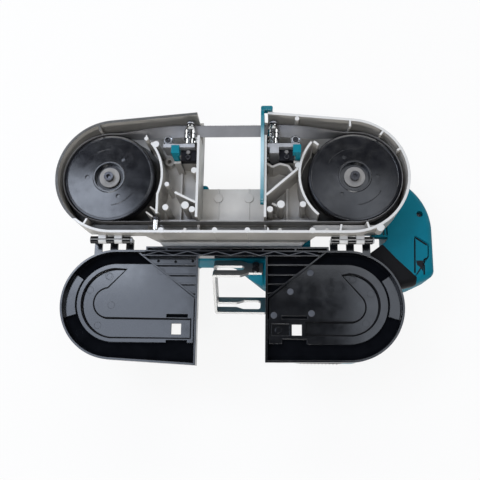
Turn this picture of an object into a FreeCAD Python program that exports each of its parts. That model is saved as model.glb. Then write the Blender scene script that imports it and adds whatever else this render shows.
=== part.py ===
import FreeCAD, Part
import math
import os

# Portable band saw lying on its motor side, wheel side up, with the wheel cover swung open.
# Working place: x along the saw from the middle of the frame, y from the hinge axis towards the teeth,
# z up from the machined rim of the frame. The finished pieces are moved so that the whole stands on z = 0.

# Wheels and band
wheel_diameter = 98.0
wheel_spacing = 262.0
wheel_width = 16.0
wheel_drop = 5.0
flange_width = 4.0
flange_drop = 0.3
tyre_thickness = 2.0
web_thickness = 6.0
web_cone = 1.8
hub_lip = 0.7
hub_recess_radius = 15.5
hub_recess_depth = 5.0
blade_width = 13.0
blade_thickness = 0.5
blade_gap = 0.3
band_lift = 5.3
twist_start = 11.0
twist_length = 70.0

# Frame casting
frame_edge_y = 4.5
wheel_gap = 14.0
end_gap = 7.8
frame_depth = 43.0
floor_thickness = 3.0
frame_wall = 2.7
rib_thickness = 2.4
throat_left_x = -33.5
throat_right_x = 35.5
throat_depth = 56.4
corner_lift = 17.5
rib_gap = 8.0
channel_wall_gap = 3.0
buttress_depth = 6.5
buttress_gap = 2.5
flange_depth = 4.5
flange_half = 80.0
step_x = 90.0
step_slant = 10.0
step_under = 1.0
step_inset = 9.0
floor_rib_height = 7.0

# Cover and its hinges
cover_open_gap = 2.7
hinge_centre_x = 127.0
knuckle_length = 8.6
knuckle_radius = 4.0
knuckle_gap = 0.2
hinge_pin_radius = 2.0
hinge_reach = 9.0
running_gap = 0.05
cover_lift = 0.3
cover_depth = 13.0
cover_wall = 2.2
cover_edge_y = 7.3
cover_length = 364.0
cover_end_radius = 58.5
cover_corner_left_y = 129.0
cover_corner_right_y = 125.2
cover_throat_left_x = -34.7
cover_throat_right_x = 37.4
bar_near_y = 3.4
bar_far_y = 13.7
cell_left_x = -92.0
cell_right_x = 104.5
cell_pitch = 34.7
truss_half = 93.0
diagonal_x = 103.0
diagonal_rise = 52.0
platform_x = 124.0
platform_y = 63.5
platform_radius = 42.2
platform_height = 3.0
cover_rib = 1.8
lock_hole_length = 11.5
lock_hole_width = 10.4

# Blade guides
roller_radius = 6.5
roller_length = 22.0
roller_over = 4.2
roller_x = 45.0
roller_bore = 2.0
backup_radius = 5.6
backup_length = 8.0
guide_block_width = 16.0
guide_block_depth = 12.0
guide_block_height = 9.0
left_block_x = -54.6
right_block_x = 51.5
bracket_thickness = 4.0
keeper_radius = 2.9
keeper_x = -77.7
keeper_length = 10.5

# Cover locks
left_lock_x = -57.5
right_lock_x = 70.4
lock_y = 91.0
lock_width = 7.0
lock_overhang = 1.3
lock_stem = 5.4
lock_head = 9.0
lock_screen_top = -6.0
lock_thickness = 7.0
lock_nose = 2.0
lock_travel = 3.0
slide_gap = 0.3

# Stop plate
stop_thickness = 3.7
stop_low_y = 36.0
stop_high_y = 144.5
stop_front_z = 3.0
stop_screw_radius = 4.0
stop_ear = 9.0
stop_ear_depth = 8.5
stop_slant = 24.0

# Drive train
shaft_radius = 6.0
tail_radius = 5.0
output_module = 1.25
output_teeth = 48
output_pinion_teeth = 12
input_module = 0.8
input_teeth = 50
input_pinion_teeth = 10
profile_shift = 0.4
tooth_play = 0.16
pressure_angle = math.radians(20.0)
output_gear_width = 10.0
input_gear_width = 6.0
motor_x = 108.0
motor_y = 92.0
gear_case_wall = 3.0
gear_tip_gap = 2.2
gear_case_depth = 29.0

# Motor
stator_radius = 28.0
stator_bore = 16.0
stator_length = 36.0
stator_drop = 12.0
rotor_gap = 0.6
motor_bore = 38.0
motor_wall = 8.0
rotor_shaft_radius = 3.5
fan_radius = 34.0
fan_gap = 3.0
fan_depth = 7.0
small_bearing_radius = 9.5
small_bearing_width = 6.0

# Main housing and handle
housing_depth = 58.0
arm_edge_y = -14.0
parting_drop = 34.0
housing_end_x = 219.0
housing_round = 66.0
housing_edge_round = 9.0
handle_front_drop = 16.0
handle_depth = 36.0
end_cap_depth = 11.7
body_top_y = 86.0
window_left_x = 86.0
front_grip_x = -55.0
front_grip_y = 15.0
front_grip_radius = 21.0
grip_edge_y = -101.0
grip_back_y = -123.0
arm_left_x = -78.0
arm_top_y = 44.0
bumper_depth = 16.0

# Trigger and lock-off button
trigger_x = 105.0
trigger_length = 26.0
trigger_width = 16.0
trigger_travel = 6.0
trigger_reach = 9.0
trigger_seat = 9.3
switch_depth = 7.2
button_x = 134.0
button_y = -112.0
button_radius = 5.0
button_travel = 3.5

# Blade tension
carriage_thickness = 5.0
carriage_width = 36.0
release_travel = 6.0
lever_turn = math.radians(150.0)
cam_radius = 14.0
cam_gap = 0.5
pivot_offset = 23.0
pivot_radius = 4.0
lever_length = 55.0

# Tool hook
hook_tilt = math.radians(42.0)
hook_width = 26.0
hook_thickness = 3.0
hook_opening = 49.0
hook_bar = 9.0
hook_left_x = -20.0
hook_base_x = 26.5
hook_base_y = -26.0
hook_base_width = 15.0
hook_screw_spacing = 9.0
hook_tip_x = 39.0

# Places worked out from the sizes above
wheel_radius = wheel_diameter / 2
end_radius = wheel_radius + wheel_gap
wheel_axis_y = frame_edge_y + end_radius
frame_length = wheel_spacing + wheel_diameter + 2 * end_gap
drive_x = wheel_spacing / 2
idler_x = -drive_x
wheel_front_z = -wheel_drop
wheel_back_z = wheel_front_z - wheel_width
band_z = wheel_front_z - wheel_width / 2
band_y = wheel_axis_y + wheel_radius + band_lift
throat_corner_y = band_y + corner_lift
throat_back_y = band_y - throat_depth
floor_z = -frame_depth
back_z = floor_z - floor_thickness
recess_z = wheel_front_z - hub_recess_depth
hinge_drop = (frame_depth + floor_thickness - cover_lift - cover_depth - cover_open_gap) / 2
hinge_z = -hinge_drop
step_drop = hinge_drop + step_under
cover_top_z = cover_lift + cover_depth
cover_floor_z = cover_top_z - cover_wall
rib_radius = wheel_radius + rib_gap
channel_y = wheel_axis_y - wheel_radius + channel_wall_gap
roller_z = blade_thickness / 2 + blade_gap + roller_radius
roller_low_y = band_y + roller_over - roller_length
bracket_y = roller_low_y - 1.0
backup_y = band_y - blade_width / 2 - blade_gap - 0.2 - backup_radius
gear_case_z = back_z - gear_case_depth
housing_back_z = back_z - housing_depth
parting_z = back_z - parting_drop
handle_front_z = back_z - handle_front_drop
handle_back_z = handle_front_z - handle_depth
stator_top_z = gear_case_z - stator_drop
fan_top_z = stator_top_z - stator_length - fan_gap
end_cap_z = fan_top_z - fan_depth - slide_gap - small_bearing_width + 1
table_z = end_cap_z - end_cap_depth
output_gap = output_module * (output_teeth + output_pinion_teeth) / 2
input_gap = input_module * (input_teeth + input_pinion_teeth) / 2
motor_radius = motor_bore + motor_wall
drum_top_z = gear_case_z + 9
switch_y = grip_edge_y - trigger_seat
grip_z = (handle_front_z + handle_back_z) / 2
pivot_x = idler_x + pivot_offset
carriage_z = back_z - slide_gap - carriage_thickness


def vec(x, y, z=0.0):
    """Short form of a point."""
    return FreeCAD.Vector(x, y, z)


def block(x0, x1, y0, y1, z0, z1):
    """Box between two corners."""
    return Part.makeBox(x1 - x0, y1 - y0, z1 - z0, vec(x0, y0, z0))


def rod(radius, x, y, z0, z1):
    """Upright cylinder."""
    return Part.makeCylinder(radius, z1 - z0, vec(x, y, z0))


def tube(outer, inner, x, y, z0, z1):
    """Upright pipe."""
    return rod(outer, x, y, z0, z1).cut(rod(inner, x, y, z0, z1))


def rod_x(radius, y, z, x0, x1):
    """Cylinder along x."""
    return Part.makeCylinder(radius, x1 - x0, vec(x0, y, z), vec(1, 0, 0))


def rod_y(radius, x, z, y0, y1):
    """Cylinder along y."""
    return Part.makeCylinder(radius, y1 - y0, vec(x, y0, z), vec(0, 1, 0))


def cone_y(radius0, radius1, x, z, y0, y1):
    """Cone along y."""
    return Part.makeCone(radius0, radius1, y1 - y0, vec(x, y0, z), vec(0, 1, 0))


def slab(wire, z0, z1):
    """Flat wire, drawn at z = 0, raised between two levels."""
    face = Part.Face(wire)
    face.translate(vec(0, 0, z0))
    return face.extrude(vec(0, 0, z1 - z0))


def polygon(points):
    """Closed wire with sharp corners."""
    corners = [vec(x, y) for x, y in points]
    return Part.makePolygon(corners + corners[:1])


def rounded(points):
    """Closed wire through corners (x, y, radius) with tangent arcs."""
    arcs = []
    count = len(points)
    for i in range(count):
        corner = vec(points[i][0], points[i][1])
        before = (vec(*points[i - 1][:2]) - corner).normalize()
        after = (vec(*points[(i + 1) % count][:2]) - corner).normalize()
        half = before.getAngle(after) / 2
        radius = points[i][2]
        run = radius / math.tan(half)
        inward = (before + after).normalize()
        middle = corner + inward * (radius / math.sin(half) - radius)
        arcs.append((corner + before * run, middle, corner + after * run))
    edges = []
    for i in range(count):
        start, middle, end = arcs[i]
        edges.append(Part.Arc(start, middle, end).toShape())
        edges.append(Part.LineSegment(end, arcs[(i + 1) % count][0]).toShape())
    return Part.Wire(edges)


def joined(first, *others):
    """One solid from pieces that touch or overlap."""
    return first.fuse(list(others)).removeSplitter()


def turned(points, x, y):
    """Solid of revolution about an upright axis from points (radius, z)."""
    corners = [vec(r, 0, z) for r, z in points]
    face = Part.Face(Part.makePolygon(corners + corners[:1]))
    solid = face.revolve(vec(0, 0, 0), vec(0, 0, 1), 360)
    solid.translate(vec(x, y))
    return solid


def outline(length, radius, edge_y, corner_y, throat_x, side):
    """Closed wire of one half of the saw: straight at the throat, round at the end."""
    centre = vec(side * (length / 2 - radius), edge_y + radius)
    corner = vec(throat_x, corner_y)
    reach = centre - corner
    lean = math.atan2(reach.y, side * reach.x) + math.asin(radius / reach.Length)
    run = math.sqrt(reach.Length ** 2 - radius ** 2)
    touch = corner + vec(side * math.cos(lean) * run, math.sin(lean) * run)
    tip = centre + vec(side * radius, 0)
    foot = vec(centre.x, edge_y)
    base = vec(throat_x, edge_y)
    edges = [
        Part.LineSegment(base, corner).toShape(),
        Part.LineSegment(corner, touch).toShape(),
        Part.Arc(touch, tip, foot).toShape(),
        Part.LineSegment(foot, base).toShape(),
    ]
    return Part.Wire(edges)


def frame_outline(side):
    """Outside of the casting on one side of the throat."""
    throat_x = throat_right_x if side > 0 else throat_left_x
    return outline(frame_length, end_radius, frame_edge_y, throat_corner_y, throat_x, side)


def cover_outline(side):
    """Outside of the closed cover on one side of the throat."""
    throat_x = cover_throat_right_x if side > 0 else cover_throat_left_x
    corner_y = cover_corner_right_y if side > 0 else cover_corner_left_y
    return outline(cover_length, cover_end_radius, cover_edge_y, corner_y, throat_x, side)


def rib(x0, y0, x1, y1, thickness, z0, z1):
    """Straight upright rib between two points."""
    run = vec(x1 - x0, y1 - y0)
    across = vec(-run.y, run.x).normalize() * (thickness / 2)
    start = vec(x0, y0)
    end = vec(x1, y1)
    corners = [start + across, end + across, end - across, start - across]
    return slab(Part.makePolygon(corners + corners[:1]), z0, z1)


def arc_rib(x, y, radius, thickness, start, end, z0, z1):
    """Upright rib along an arc, angles in degrees."""
    outer = Part.makeCylinder(radius + thickness, z1 - z0, vec(x, y, z0), vec(0, 0, 1), end - start)
    inner = Part.makeCylinder(radius, z1 - z0, vec(x, y, z0), vec(0, 0, 1), end - start)
    ring = outer.cut(inner)
    ring.rotate(vec(x, y), vec(0, 0, 1), start)
    return ring


def knuckle_spans(owner):
    """Stretches of x, from the hinge's middle, that belong to the cover (0) or the frame (1)."""
    spans = []
    for i in range(5):
        if i % 2 == owner:
            middle = (i - 2) * knuckle_length
            half = knuckle_length / 2 - knuckle_gap
            spans.append((middle - half, middle + half))
    return spans


def frame_ribs(side):
    """Ribs and bosses inside one wheel pocket."""
    hub_x = side * drive_x
    near = (throat_right_x if side > 0 else throat_left_x) + side * frame_wall
    low_z = floor_z + floor_rib_height
    if side > 0:
        pieces = [arc_rib(hub_x, wheel_axis_y, rib_radius, rib_thickness, 141, 228, floor_z, 0)]
        pieces.append(rib(near, throat_back_y - 20, near + 33, throat_back_y + 9, rib_thickness, floor_z, 0))
        pieces.append(rib(88.0, 104.6, 93.0, 100.6, rib_thickness, floor_z, 0))
        bends = [(near, 84.5), (44.2, 80.5), (52.1, 83.9), (61.2, 81.7), (65.6, 75.1)]
        for start, end in zip(bends, bends[1:]):
            pieces.append(rib(*start, *end, rib_thickness, floor_z, band_z + 1))
        pieces.append(rib(60.4, channel_y, 60.4, 64.0, rib_thickness, floor_z, low_z))
        pieces.append(rib(53.4, 35.2, 43.8, 40.0, rib_thickness, floor_z, band_z))
        bosses = [(71.2, 78.0, 3.2), (42.0, 29.8, 3.2), (53.4, 35.2, 4.0), (76.1, 35.2, 3.2)]
        bosses += [(70.6, 130.8, 2.4), (38.9, 8.2, 2.2)]
    else:
        middle = rib_radius + rib_thickness / 2
        turn = math.radians(21)
        foot_x = hub_x + middle * math.cos(turn)
        foot_y = wheel_axis_y - middle * math.sin(turn)
        pieces = [arc_rib(hub_x, wheel_axis_y, rib_radius, rib_thickness, -21, 39, floor_z, 0)]
        foot_end = channel_y + frame_wall + 1
        pieces.append(rib(foot_x, foot_y + 0.6, foot_x, foot_end, rib_thickness, floor_z, 0))
        pieces.append(rib(near, throat_back_y - 28, near - 22, throat_back_y - 17, rib_thickness, floor_z, 0))
        pieces.append(rib(-57.0, channel_y, -57.0, 82.0, rib_thickness, floor_z, low_z))
        pieces.append(rib(-91.5, 106.5, -91.5, 112.8, rib_thickness / 2, floor_z, 0))
        pieces.append(tube(5.2, 2.4, -71.0, 95.0, floor_z, floor_z + 9))
        bosses = [(-91.5, 109.0, 2.2), (-80.7, 102.5, 3.5), (-67.0, 57.3, 2.5), (-67.5, 32.0, 3.2)]
        bosses += [(-46.8, 34.2, 4.0), (-38.6, 72.8, 3.2), (-39.5, 29.8, 3.2)]
    for x, y, radius in bosses:
        pieces.append(rod(radius, x, y, floor_z, 0))
    return pieces


def frame_buttresses(side):
    """Short ribs that stand out of the end wall towards the wheel."""
    centre = vec(side * (frame_length / 2 - end_radius), wheel_axis_y)
    angles = (88, 53, 28, -72, -100) if side > 0 else (109, 242)
    wheel_room = rod(wheel_radius + buttress_gap, side * drive_x, wheel_axis_y, floor_z, 1)
    ring = slab(frame_outline(side).makeOffset2D(-frame_wall - buttress_depth), floor_z, 1)
    pieces = []
    for angle in angles:
        way = vec(math.cos(math.radians(angle)), math.sin(math.radians(angle)))
        start = centre + way * (end_radius - 20)
        end = centre + way * (end_radius + 8)
        stay = rib(start.x, start.y, end.x, end.y, rib_thickness - 0.4, floor_z, 0)
        pieces.append(stay.cut([ring, wheel_room]))
    return pieces


def frame_step(side, grow):
    """Room under the hinge ledge where the casting steps inwards, with a wall allowance."""
    top = grow - step_drop
    inner = step_x - grow
    corners = [vec(side * inner, 0, top), vec(side * 200, 0, top), vec(side * 200, 0, back_z - 1),
               vec(side * (inner - step_slant), 0, back_z - 1)]
    face = Part.Face(Part.makePolygon(corners + corners[:1]))
    face.translate(vec(0, -20, 0))
    return face.extrude(vec(0, frame_edge_y + step_inset + grow + 20, 0))


def frame_pocket(side):
    """Hollow of one wheel pocket."""
    return slab(frame_outline(side).makeOffset2D(-frame_wall), floor_z, 1).cut(frame_step(side, frame_wall))


def hinge_lugs(side):
    """Knuckles that stand out of the casting's lower wall at one hinge."""
    lugs = []
    pocket = frame_pocket(side)
    for x0, x1 in knuckle_spans(1):
        a = side * hinge_centre_x + x0
        b = side * hinge_centre_x + x1
        lug = rod_x(knuckle_radius, 0, hinge_z, a, b)
        arm = block(a, b, 0, frame_edge_y + hinge_reach, hinge_z - knuckle_radius, hinge_z + knuckle_radius)
        lugs.append(lug.fuse(arm.cut(pocket)))
    return lugs


def frame_casting():
    """Die-cast frame: two wheel pockets, the bridge behind the throat, ribs, bosses and hinge lugs."""
    bodies = []
    for side in (-1, 1):
        pocket = frame_pocket(side)
        inside = [piece.common(pocket) for piece in frame_ribs(side) + frame_buttresses(side)]
        bodies.append(slab(frame_outline(side), back_z, 0).cut(pocket).fuse(inside))
    bridge = block(throat_left_x, throat_right_x, frame_edge_y, throat_back_y, back_z, floor_z)
    lower_wall = block(throat_left_x, throat_right_x, frame_edge_y, frame_edge_y + frame_wall, floor_z, 0)
    channel_left = throat_left_x - frame_wall - 40
    channel_right = throat_right_x + frame_wall + 54
    channel_top = wheel_back_z - 1
    channel = block(channel_left, channel_right, channel_y, channel_y + frame_wall, floor_z, channel_top)
    flange_y = frame_edge_y - flange_depth
    corners = [(-flange_half, frame_edge_y), (flange_half, frame_edge_y)]
    corners += [(flange_half - 4, flange_y), (4 - flange_half, flange_y)]
    flange = slab(polygon(corners), back_z, back_z + frame_wall + 1)
    pads = [rod(3.0, x, frame_edge_y + frame_wall, floor_z, 0) for x in (-71.4, -15.1, 18.8, 85.7)]
    pads += [rod(1.8, x, frame_edge_y + frame_wall + 1, floor_z, -2) for x in (-46.4, 52.4, 100.4)]
    seams = []
    for x in (-15.9, 18.2):
        seams.append(block(x - 1, x + 1, channel_y, throat_back_y, floor_z, floor_z + 1))
        seams.append(rod(5.0, x, throat_back_y - 10.8, floor_z, floor_z + 1.6))
    hub_boss = rod(19.0, drive_x, wheel_axis_y, floor_z, wheel_back_z - 2)
    lug = rod(4.0, 154.8, frame_edge_y + 6, -step_drop, 0).cut(frame_pocket(1))
    pads += [guide_pedestal(-1), guide_pedestal(1), lock_screen(left_lock_x), lock_screen(right_lock_x)]
    body = bodies[0].fuse([bodies[1], bridge, lower_wall, channel, flange, hub_boss, lug] + pads + seams)
    body = body.cut([frame_step(-1, 0), frame_step(1, 0)])
    body = body.fuse(hinge_lugs(-1) + hinge_lugs(1) + guide_rails())
    return body.cut(frame_cuts()).removeSplitter()


def guide_rails():
    """Rails and pivot pin for the tension carriage on the back of the floor."""
    half = carriage_width / 2 + slide_gap
    lip_z = carriage_z - slide_gap
    start, end = idler_x - 36, idler_x + 44
    rails = []
    for side in (-1, 1):
        inner, outer = wheel_axis_y + side * half, wheel_axis_y + side * (half + 3)
        lip = wheel_axis_y + side * (half - 2)
        rails.append(block(start, end, min(inner, outer), max(inner, outer), lip_z - 2, back_z))
        rails.append(block(start, end, min(lip, inner), max(lip, inner), lip_z - 2, lip_z))
    rails.append(rod(pivot_radius, pivot_x, wheel_axis_y, carriage_z - 14, back_z))
    return rails


def frame_cuts():
    """Holes, slots and blade ways in the casting."""
    bearing_top = wheel_back_z - 15
    cuts = [
        rod(14.0, drive_x, wheel_axis_y, back_z - 1, bearing_top),
        rod(shaft_radius + 1, drive_x, wheel_axis_y, back_z - 1, 0),
        rod(3.0 + running_gap, *intermediate_axis(), back_z - 1, floor_z + 1),
    ]
    way_z = wheel_back_z - 1
    for side in (-1, 1):
        throat_x = throat_right_x if side > 0 else throat_left_x
        inner_x = throat_x + side * frame_wall
        low, high = min(throat_x, inner_x), max(throat_x, inner_x)
        cuts.append(block(low - 1, high + 1, frame_edge_y + frame_wall, channel_y, way_z, 1))
        exit_y = band_y - blade_width / 2 - 3
        cuts.append(block(low - 1, high + 1, exit_y, throat_corner_y + 1, band_z - 16, 1))
        pin = rod_x(hinge_pin_radius, 0, hinge_z, side * hinge_centre_x - 30, side * hinge_centre_x + 30)
        cuts.append(pin)
    slot = axle_shoulder() + slide_gap
    cuts.append(rod(slot, idler_x, wheel_axis_y, back_z - 1, floor_z + 1))
    cuts.append(rod(slot, idler_x + release_travel, wheel_axis_y, back_z - 1, floor_z + 1))
    cuts.append(block(idler_x, idler_x + release_travel, wheel_axis_y - slot, wheel_axis_y + slot,
                      back_z - 1, floor_z + 1))
    for x in (left_lock_x, right_lock_x):
        cuts.append(lock_slot(x))
    for y in stop_screw_places():
        wall_x = throat_right_x + frame_wall
        cuts.append(rod_x(stop_screw_radius / 2, y, stop_screw_z(), throat_right_x - 1, wall_x + 1))
    wall_y = frame_edge_y + frame_wall
    cuts.append(rod_y(keeper_radius / 2, keeper_x, keeper_z(), frame_edge_y - 1, wall_y + 1))
    return cuts


def axle_shoulder():
    """Radius of the idler axle where it passes the floor."""
    return shaft_radius + 2


def lock_stem_x(x):
    """Left edge of a lock's stem, which sits at the outer side of its head."""
    return x + lock_width / 2 - lock_stem if x > 0 else x - lock_width / 2


def lock_slot(x):
    """Slot in the floor for one cover lock."""
    start = lock_stem_x(x) - slide_gap
    low = lock_y - lock_hole_length / 2 - slide_gap
    high = low + 2 * slide_gap + lock_thickness + lock_travel
    return block(start, start + lock_stem + 2 * slide_gap, low, high, back_z - 1, floor_z + 1)


def lock_screen(x):
    """Cast wall that stands in front of a lock's stem."""
    half = lock_width / 2
    high = lock_y - lock_hole_length / 2 - slide_gap
    return block(x - half, x + half, high - rib_thickness, high, floor_z, lock_screen_top)


def cover_lock(x):
    """Sliding hook that comes up through the cover's square hole and catches its edge."""
    low = lock_y - lock_hole_length / 2 + slide_gap / 2
    high = low + lock_thickness - slide_gap / 2
    half = lock_width / 2
    top = cover_top_z + 4
    left = lock_stem_x(x)
    stem = block(left, left + lock_stem, low, high, back_z - slide_gap - 3, top)
    inner = x - half - lock_overhang if x > 0 else x - half
    width = lock_width + lock_overhang
    head = block(inner, inner + width, low, high, top - lock_head, top)
    nose = block(inner, inner + width, high, high + lock_nose, top - 3.4, top)
    tab = block(x - half - 4, x + half + 4, low - 4, high + 8, back_z - slide_gap - 4, back_z - slide_gap)
    ridge = block(x - half - 4, x + half + 4, low - 4, low - 1, back_z - slide_gap - 8, back_z - slide_gap)
    hook = joined(stem, head, nose, tab, ridge)
    cut = block(x - half - 1, x + half + 1, high - 2.5, high + 1, floor_z + 8, top - lock_head)
    return hook.cut(cut)


def trough_corners(side):
    """Corners of the J-shaped trough: tip, outer arc, lower run, inner arc."""
    if side > 0:
        return {"tip": (118.4, 32.4), "outer": [(126.5, 31.0), (157.6, 64.8), (128.6, 96.4)],
                "run": [(79.6, 96.4), (79.6, 82.4)], "inner": [(126.0, 82.4), (142.9, 65.9), (138.3, 55.0)]}
    return {"tip": (-113.5, 27.0), "outer": [(-126.7, 26.5), (-161.2, 63.4), (-128.0, 101.0)],
            "run": [(-41.7, 101.0), (-41.7, 80.6)], "inner": [(-134.0, 80.0), (-147.7, 63.3), (-133.2, 47.6)]}


def cover_trough(side, z0, z1):
    """Solid of the J-shaped trough."""
    corners = trough_corners(side)
    outer = [vec(*point) for point in corners["outer"]]
    inner = [vec(*point) for point in corners["inner"]]
    run = [vec(*point) for point in corners["run"]]
    tip = vec(*corners["tip"])
    stops = [outer[2], run[0], run[1], inner[0]]
    edges = [Part.LineSegment(tip, outer[0]).toShape(), Part.Arc(*outer).toShape()]
    edges += [Part.LineSegment(a, b).toShape() for a, b in zip(stops, stops[1:])]
    edges += [Part.Arc(*inner).toShape(), Part.LineSegment(inner[2], tip).toShape()]
    return slab(Part.Wire(edges), z0, z1)


def cover_platform(side):
    """Raised U with the J-shaped trough and the lock pockets left open in it, and the ramp at the end."""
    middle = vec(side * platform_x, platform_y)
    throat_x = cover_throat_right_x if side > 0 else cover_throat_left_x
    end = throat_x + side * 4
    top = middle + vec(0, platform_radius)
    low = middle + vec(0, -platform_radius)
    far = middle + vec(side * platform_radius, 0)
    edges = [
        Part.LineSegment(vec(end, top.y), top).toShape(),
        Part.Arc(top, far, low).toShape(),
        Part.LineSegment(low, vec(end, low.y)).toShape(),
        Part.LineSegment(vec(end, low.y), vec(end, top.y)).toShape(),
    ]
    level = cover_floor_z - platform_height
    solid = slab(Part.Wire(edges), level, cover_floor_z)
    corner = [(throat_x, cover_edge_y), (side * diagonal_x, cover_edge_y), (throat_x, cover_edge_y + 54)]
    cuts = [cover_trough(side, level - 1, cover_floor_z), slab(polygon(corner), level - 1, cover_floor_z)]
    pockets = [(-68.0, -45.2, 75.5, 79.0), (-67.5, -45.2, 103.0, 107.0)]
    if side > 0:
        pockets = [(54.4, 81.6, 76.4, 79.4), (55.0, 80.8, 100.4, 107.0), (44.0, 63.0, 84.5, 97.0)]
    for x0, x1, y0, y1 in pockets:
        cuts.append(block(x0, x1, y0, y1, level - 1, cover_floor_z))
    return solid.cut(cuts)


def cover_ramp(side):
    """Raised sector between the platform and the rim at the round end."""
    sweep = (-34, 17) if side > 0 else (163, 214)
    inner = platform_radius + cover_rib
    level = cover_floor_z - platform_height
    return arc_rib(side * platform_x, platform_y, inner, 20.0, *sweep, level, cover_floor_z)


def cover_ribs(side):
    """Diagonal and cross ribs in the corner of one half of the cover."""
    throat_x = cover_throat_right_x if side > 0 else cover_throat_left_x
    low_z = cover_lift + 3
    start = side * diagonal_x
    ribs = [rib(start, cover_edge_y, throat_x, cover_edge_y + diagonal_rise, cover_rib, low_z, cover_floor_z)]
    for rise in (14.6, 25.5, 35.5, 45.3):
        y = cover_edge_y + rise
        reach = start + (throat_x - start) * rise / diagonal_rise
        ribs.append(rib(reach, y, throat_x, y, cover_rib, low_z + 3, cover_floor_z))
    if side > 0:
        ribs.append(rod(3.2, 51.3, 91.2, low_z + 5, cover_floor_z))
    return ribs


def cover_cells():
    """Row of open cells along the hinge side of the cover."""
    row = block(cell_left_x, cell_right_x, bar_near_y, cover_edge_y, cover_lift, cover_top_z)
    half = cover_rib / 2
    posts = [cell_left_x + half] + [i * cell_pitch for i in range(-2, 3)] + [cell_right_x - half]
    near = bar_near_y + cover_rib
    rooms = []
    for start, end in zip(posts, posts[1:]):
        rooms.append(block(start + half, end - half, near, cover_edge_y, cover_lift - 1, cover_floor_z))
    return row.cut(rooms)


def cover_bridge():
    """Bar along the hinge side that joins the two halves: wall of the cells, zigzag truss and inner wall."""
    x0, x1 = cover_throat_left_x, cover_throat_right_x
    near, far = cover_edge_y + cover_wall, bar_far_y - cover_rib
    plate = block(x0, x1, cover_edge_y, bar_far_y, cover_floor_z, cover_top_z)
    wall = block(x0, x1, cover_edge_y, near, cover_lift, cover_top_z)
    reach = diagonal_x - (diagonal_x - x1) * (bar_far_y - cover_edge_y) / diagonal_rise
    inner_wall = block(-reach, reach, far, bar_far_y, cover_lift, cover_floor_z)
    truss = []
    count = 12
    step = 2 * truss_half / count
    span = block(-truss_half, truss_half, near, far, cover_lift, cover_floor_z)
    for i in range(count):
        a, b = (near, far) if i % 2 else (far, near)
        start = i * step - truss_half
        truss.append(rib(start, a, start + step, b, cover_rib, cover_lift + 1, cover_floor_z).common(span))
    return [plate, wall, inner_wall] + truss


def cover_straps(side):
    """Cover knuckles with the straps that reach over the casting's rim."""
    straps = []
    strap = 3.0
    hollow = slab(cover_outline(side).makeOffset2D(-cover_wall), cover_lift - 1, cover_floor_z)
    for x0, x1 in knuckle_spans(0):
        a = side * hinge_centre_x + x0
        b = side * hinge_centre_x + x1
        ring = rod_x(knuckle_radius, 0, hinge_z, a, b)
        leg = block(a, b, -knuckle_radius, 0.5, hinge_z, cover_lift + strap)
        over = block(a, b, -knuckle_radius, cover_edge_y + hinge_reach, cover_lift, cover_lift + strap)
        bore = rod_x(hinge_pin_radius + running_gap, 0, hinge_z, a - 1, b + 1)
        straps.append(ring.fuse([leg, over.cut(hollow)]).cut(bore))
    return straps


def cover_shell():
    """Wheel cover, modelled shut on the frame and then swung open about the hinge axis."""
    halves = []
    for side in (-1, 1):
        wire = cover_outline(side)
        shell = slab(wire, cover_lift, cover_top_z)
        hollow = slab(wire.makeOffset2D(-cover_wall), cover_lift - 1, cover_floor_z)
        inner = cover_ribs(side) + [cover_platform(side), cover_ramp(side)]
        inside = [piece.common(hollow) for piece in inner]
        shell = shell.cut(hollow).fuse(inside + cover_straps(side))
        hole_x = right_lock_x if side > 0 else left_lock_x
        half = lock_hole_width / 2
        low = lock_y - lock_hole_length / 2
        hole = block(hole_x - half, hole_x + half, low, low + lock_hole_length, cover_lift, cover_top_z + 1)
        halves.append(shell.cut(hole))
    body = halves[0].fuse([halves[1], cover_cells()] + cover_bridge()).removeSplitter()
    body.rotate(vec(0, 0, hinge_z), vec(1, 0, 0), 180)
    return body


def hinge_pin(side):
    """Headed pin through one hinge."""
    reach = 2.5 * knuckle_length
    centre = side * hinge_centre_x
    shank = rod_x(hinge_pin_radius, 0, hinge_z, centre - reach, centre + reach + 0.4)
    head = rod_x(hinge_pin_radius + 1, 0, hinge_z, centre + reach + 0.2, centre + reach + 1.6)
    return joined(shank, head)


def wheel_body(x, bore):
    """Wheel with a front flange, a coned web, a lipped hub recess and dimples; tyre seat left clear."""
    rim = wheel_radius - tyre_thickness
    front, back = wheel_front_z, wheel_back_z
    edge = wheel_radius - flange_drop
    web = front - hub_lip
    hollow = back + wheel_width - hub_recess_depth - web_thickness - 1
    profile = [
        (bore, recess_z), (hub_recess_radius, recess_z), (hub_recess_radius, front),
        (hub_recess_radius + 1.6, front),
        (hub_recess_radius + 2.2, web), (edge - 3.4, web - web_cone), (edge - 3, web - web_cone + 0.3),
        (edge - 1, web - web_cone), (edge, web - web_cone - 0.8), (edge, front - flange_width),
        (rim, front - flange_width),
        (rim, back), (rim - 6, back), (rim - 7, hollow), (hub_recess_radius + 4, hollow),
        (hub_recess_radius + 3, back), (bore, back),
    ]
    wheel = turned(profile, x, wheel_axis_y)
    for angle in (180, 55, -63):
        turn = math.radians(angle if x < 0 else angle + 180)
        dx = 24 * math.cos(turn)
        dy = 24 * math.sin(turn)
        wheel = wheel.cut(rod(2.2, x + dx, wheel_axis_y + dy, front - 2.6, front + 1))
    return wheel


def tyre(x):
    """Rubber band on the wheel's rim, behind the flange."""
    seat = wheel_radius - tyre_thickness
    start = wheel_front_z - flange_width
    profile = [(seat, start), (wheel_radius - 0.4, start), (wheel_radius, start - 1)]
    profile += [(wheel_radius, wheel_back_z + 1.6), (seat, wheel_back_z + 1)]
    return turned(profile, x, wheel_axis_y)


def wheel_washer(x):
    """Flat washer in the hub recess."""
    return tube(11.0, 3.0, x, wheel_axis_y, recess_z, recess_z + 2)


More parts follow.
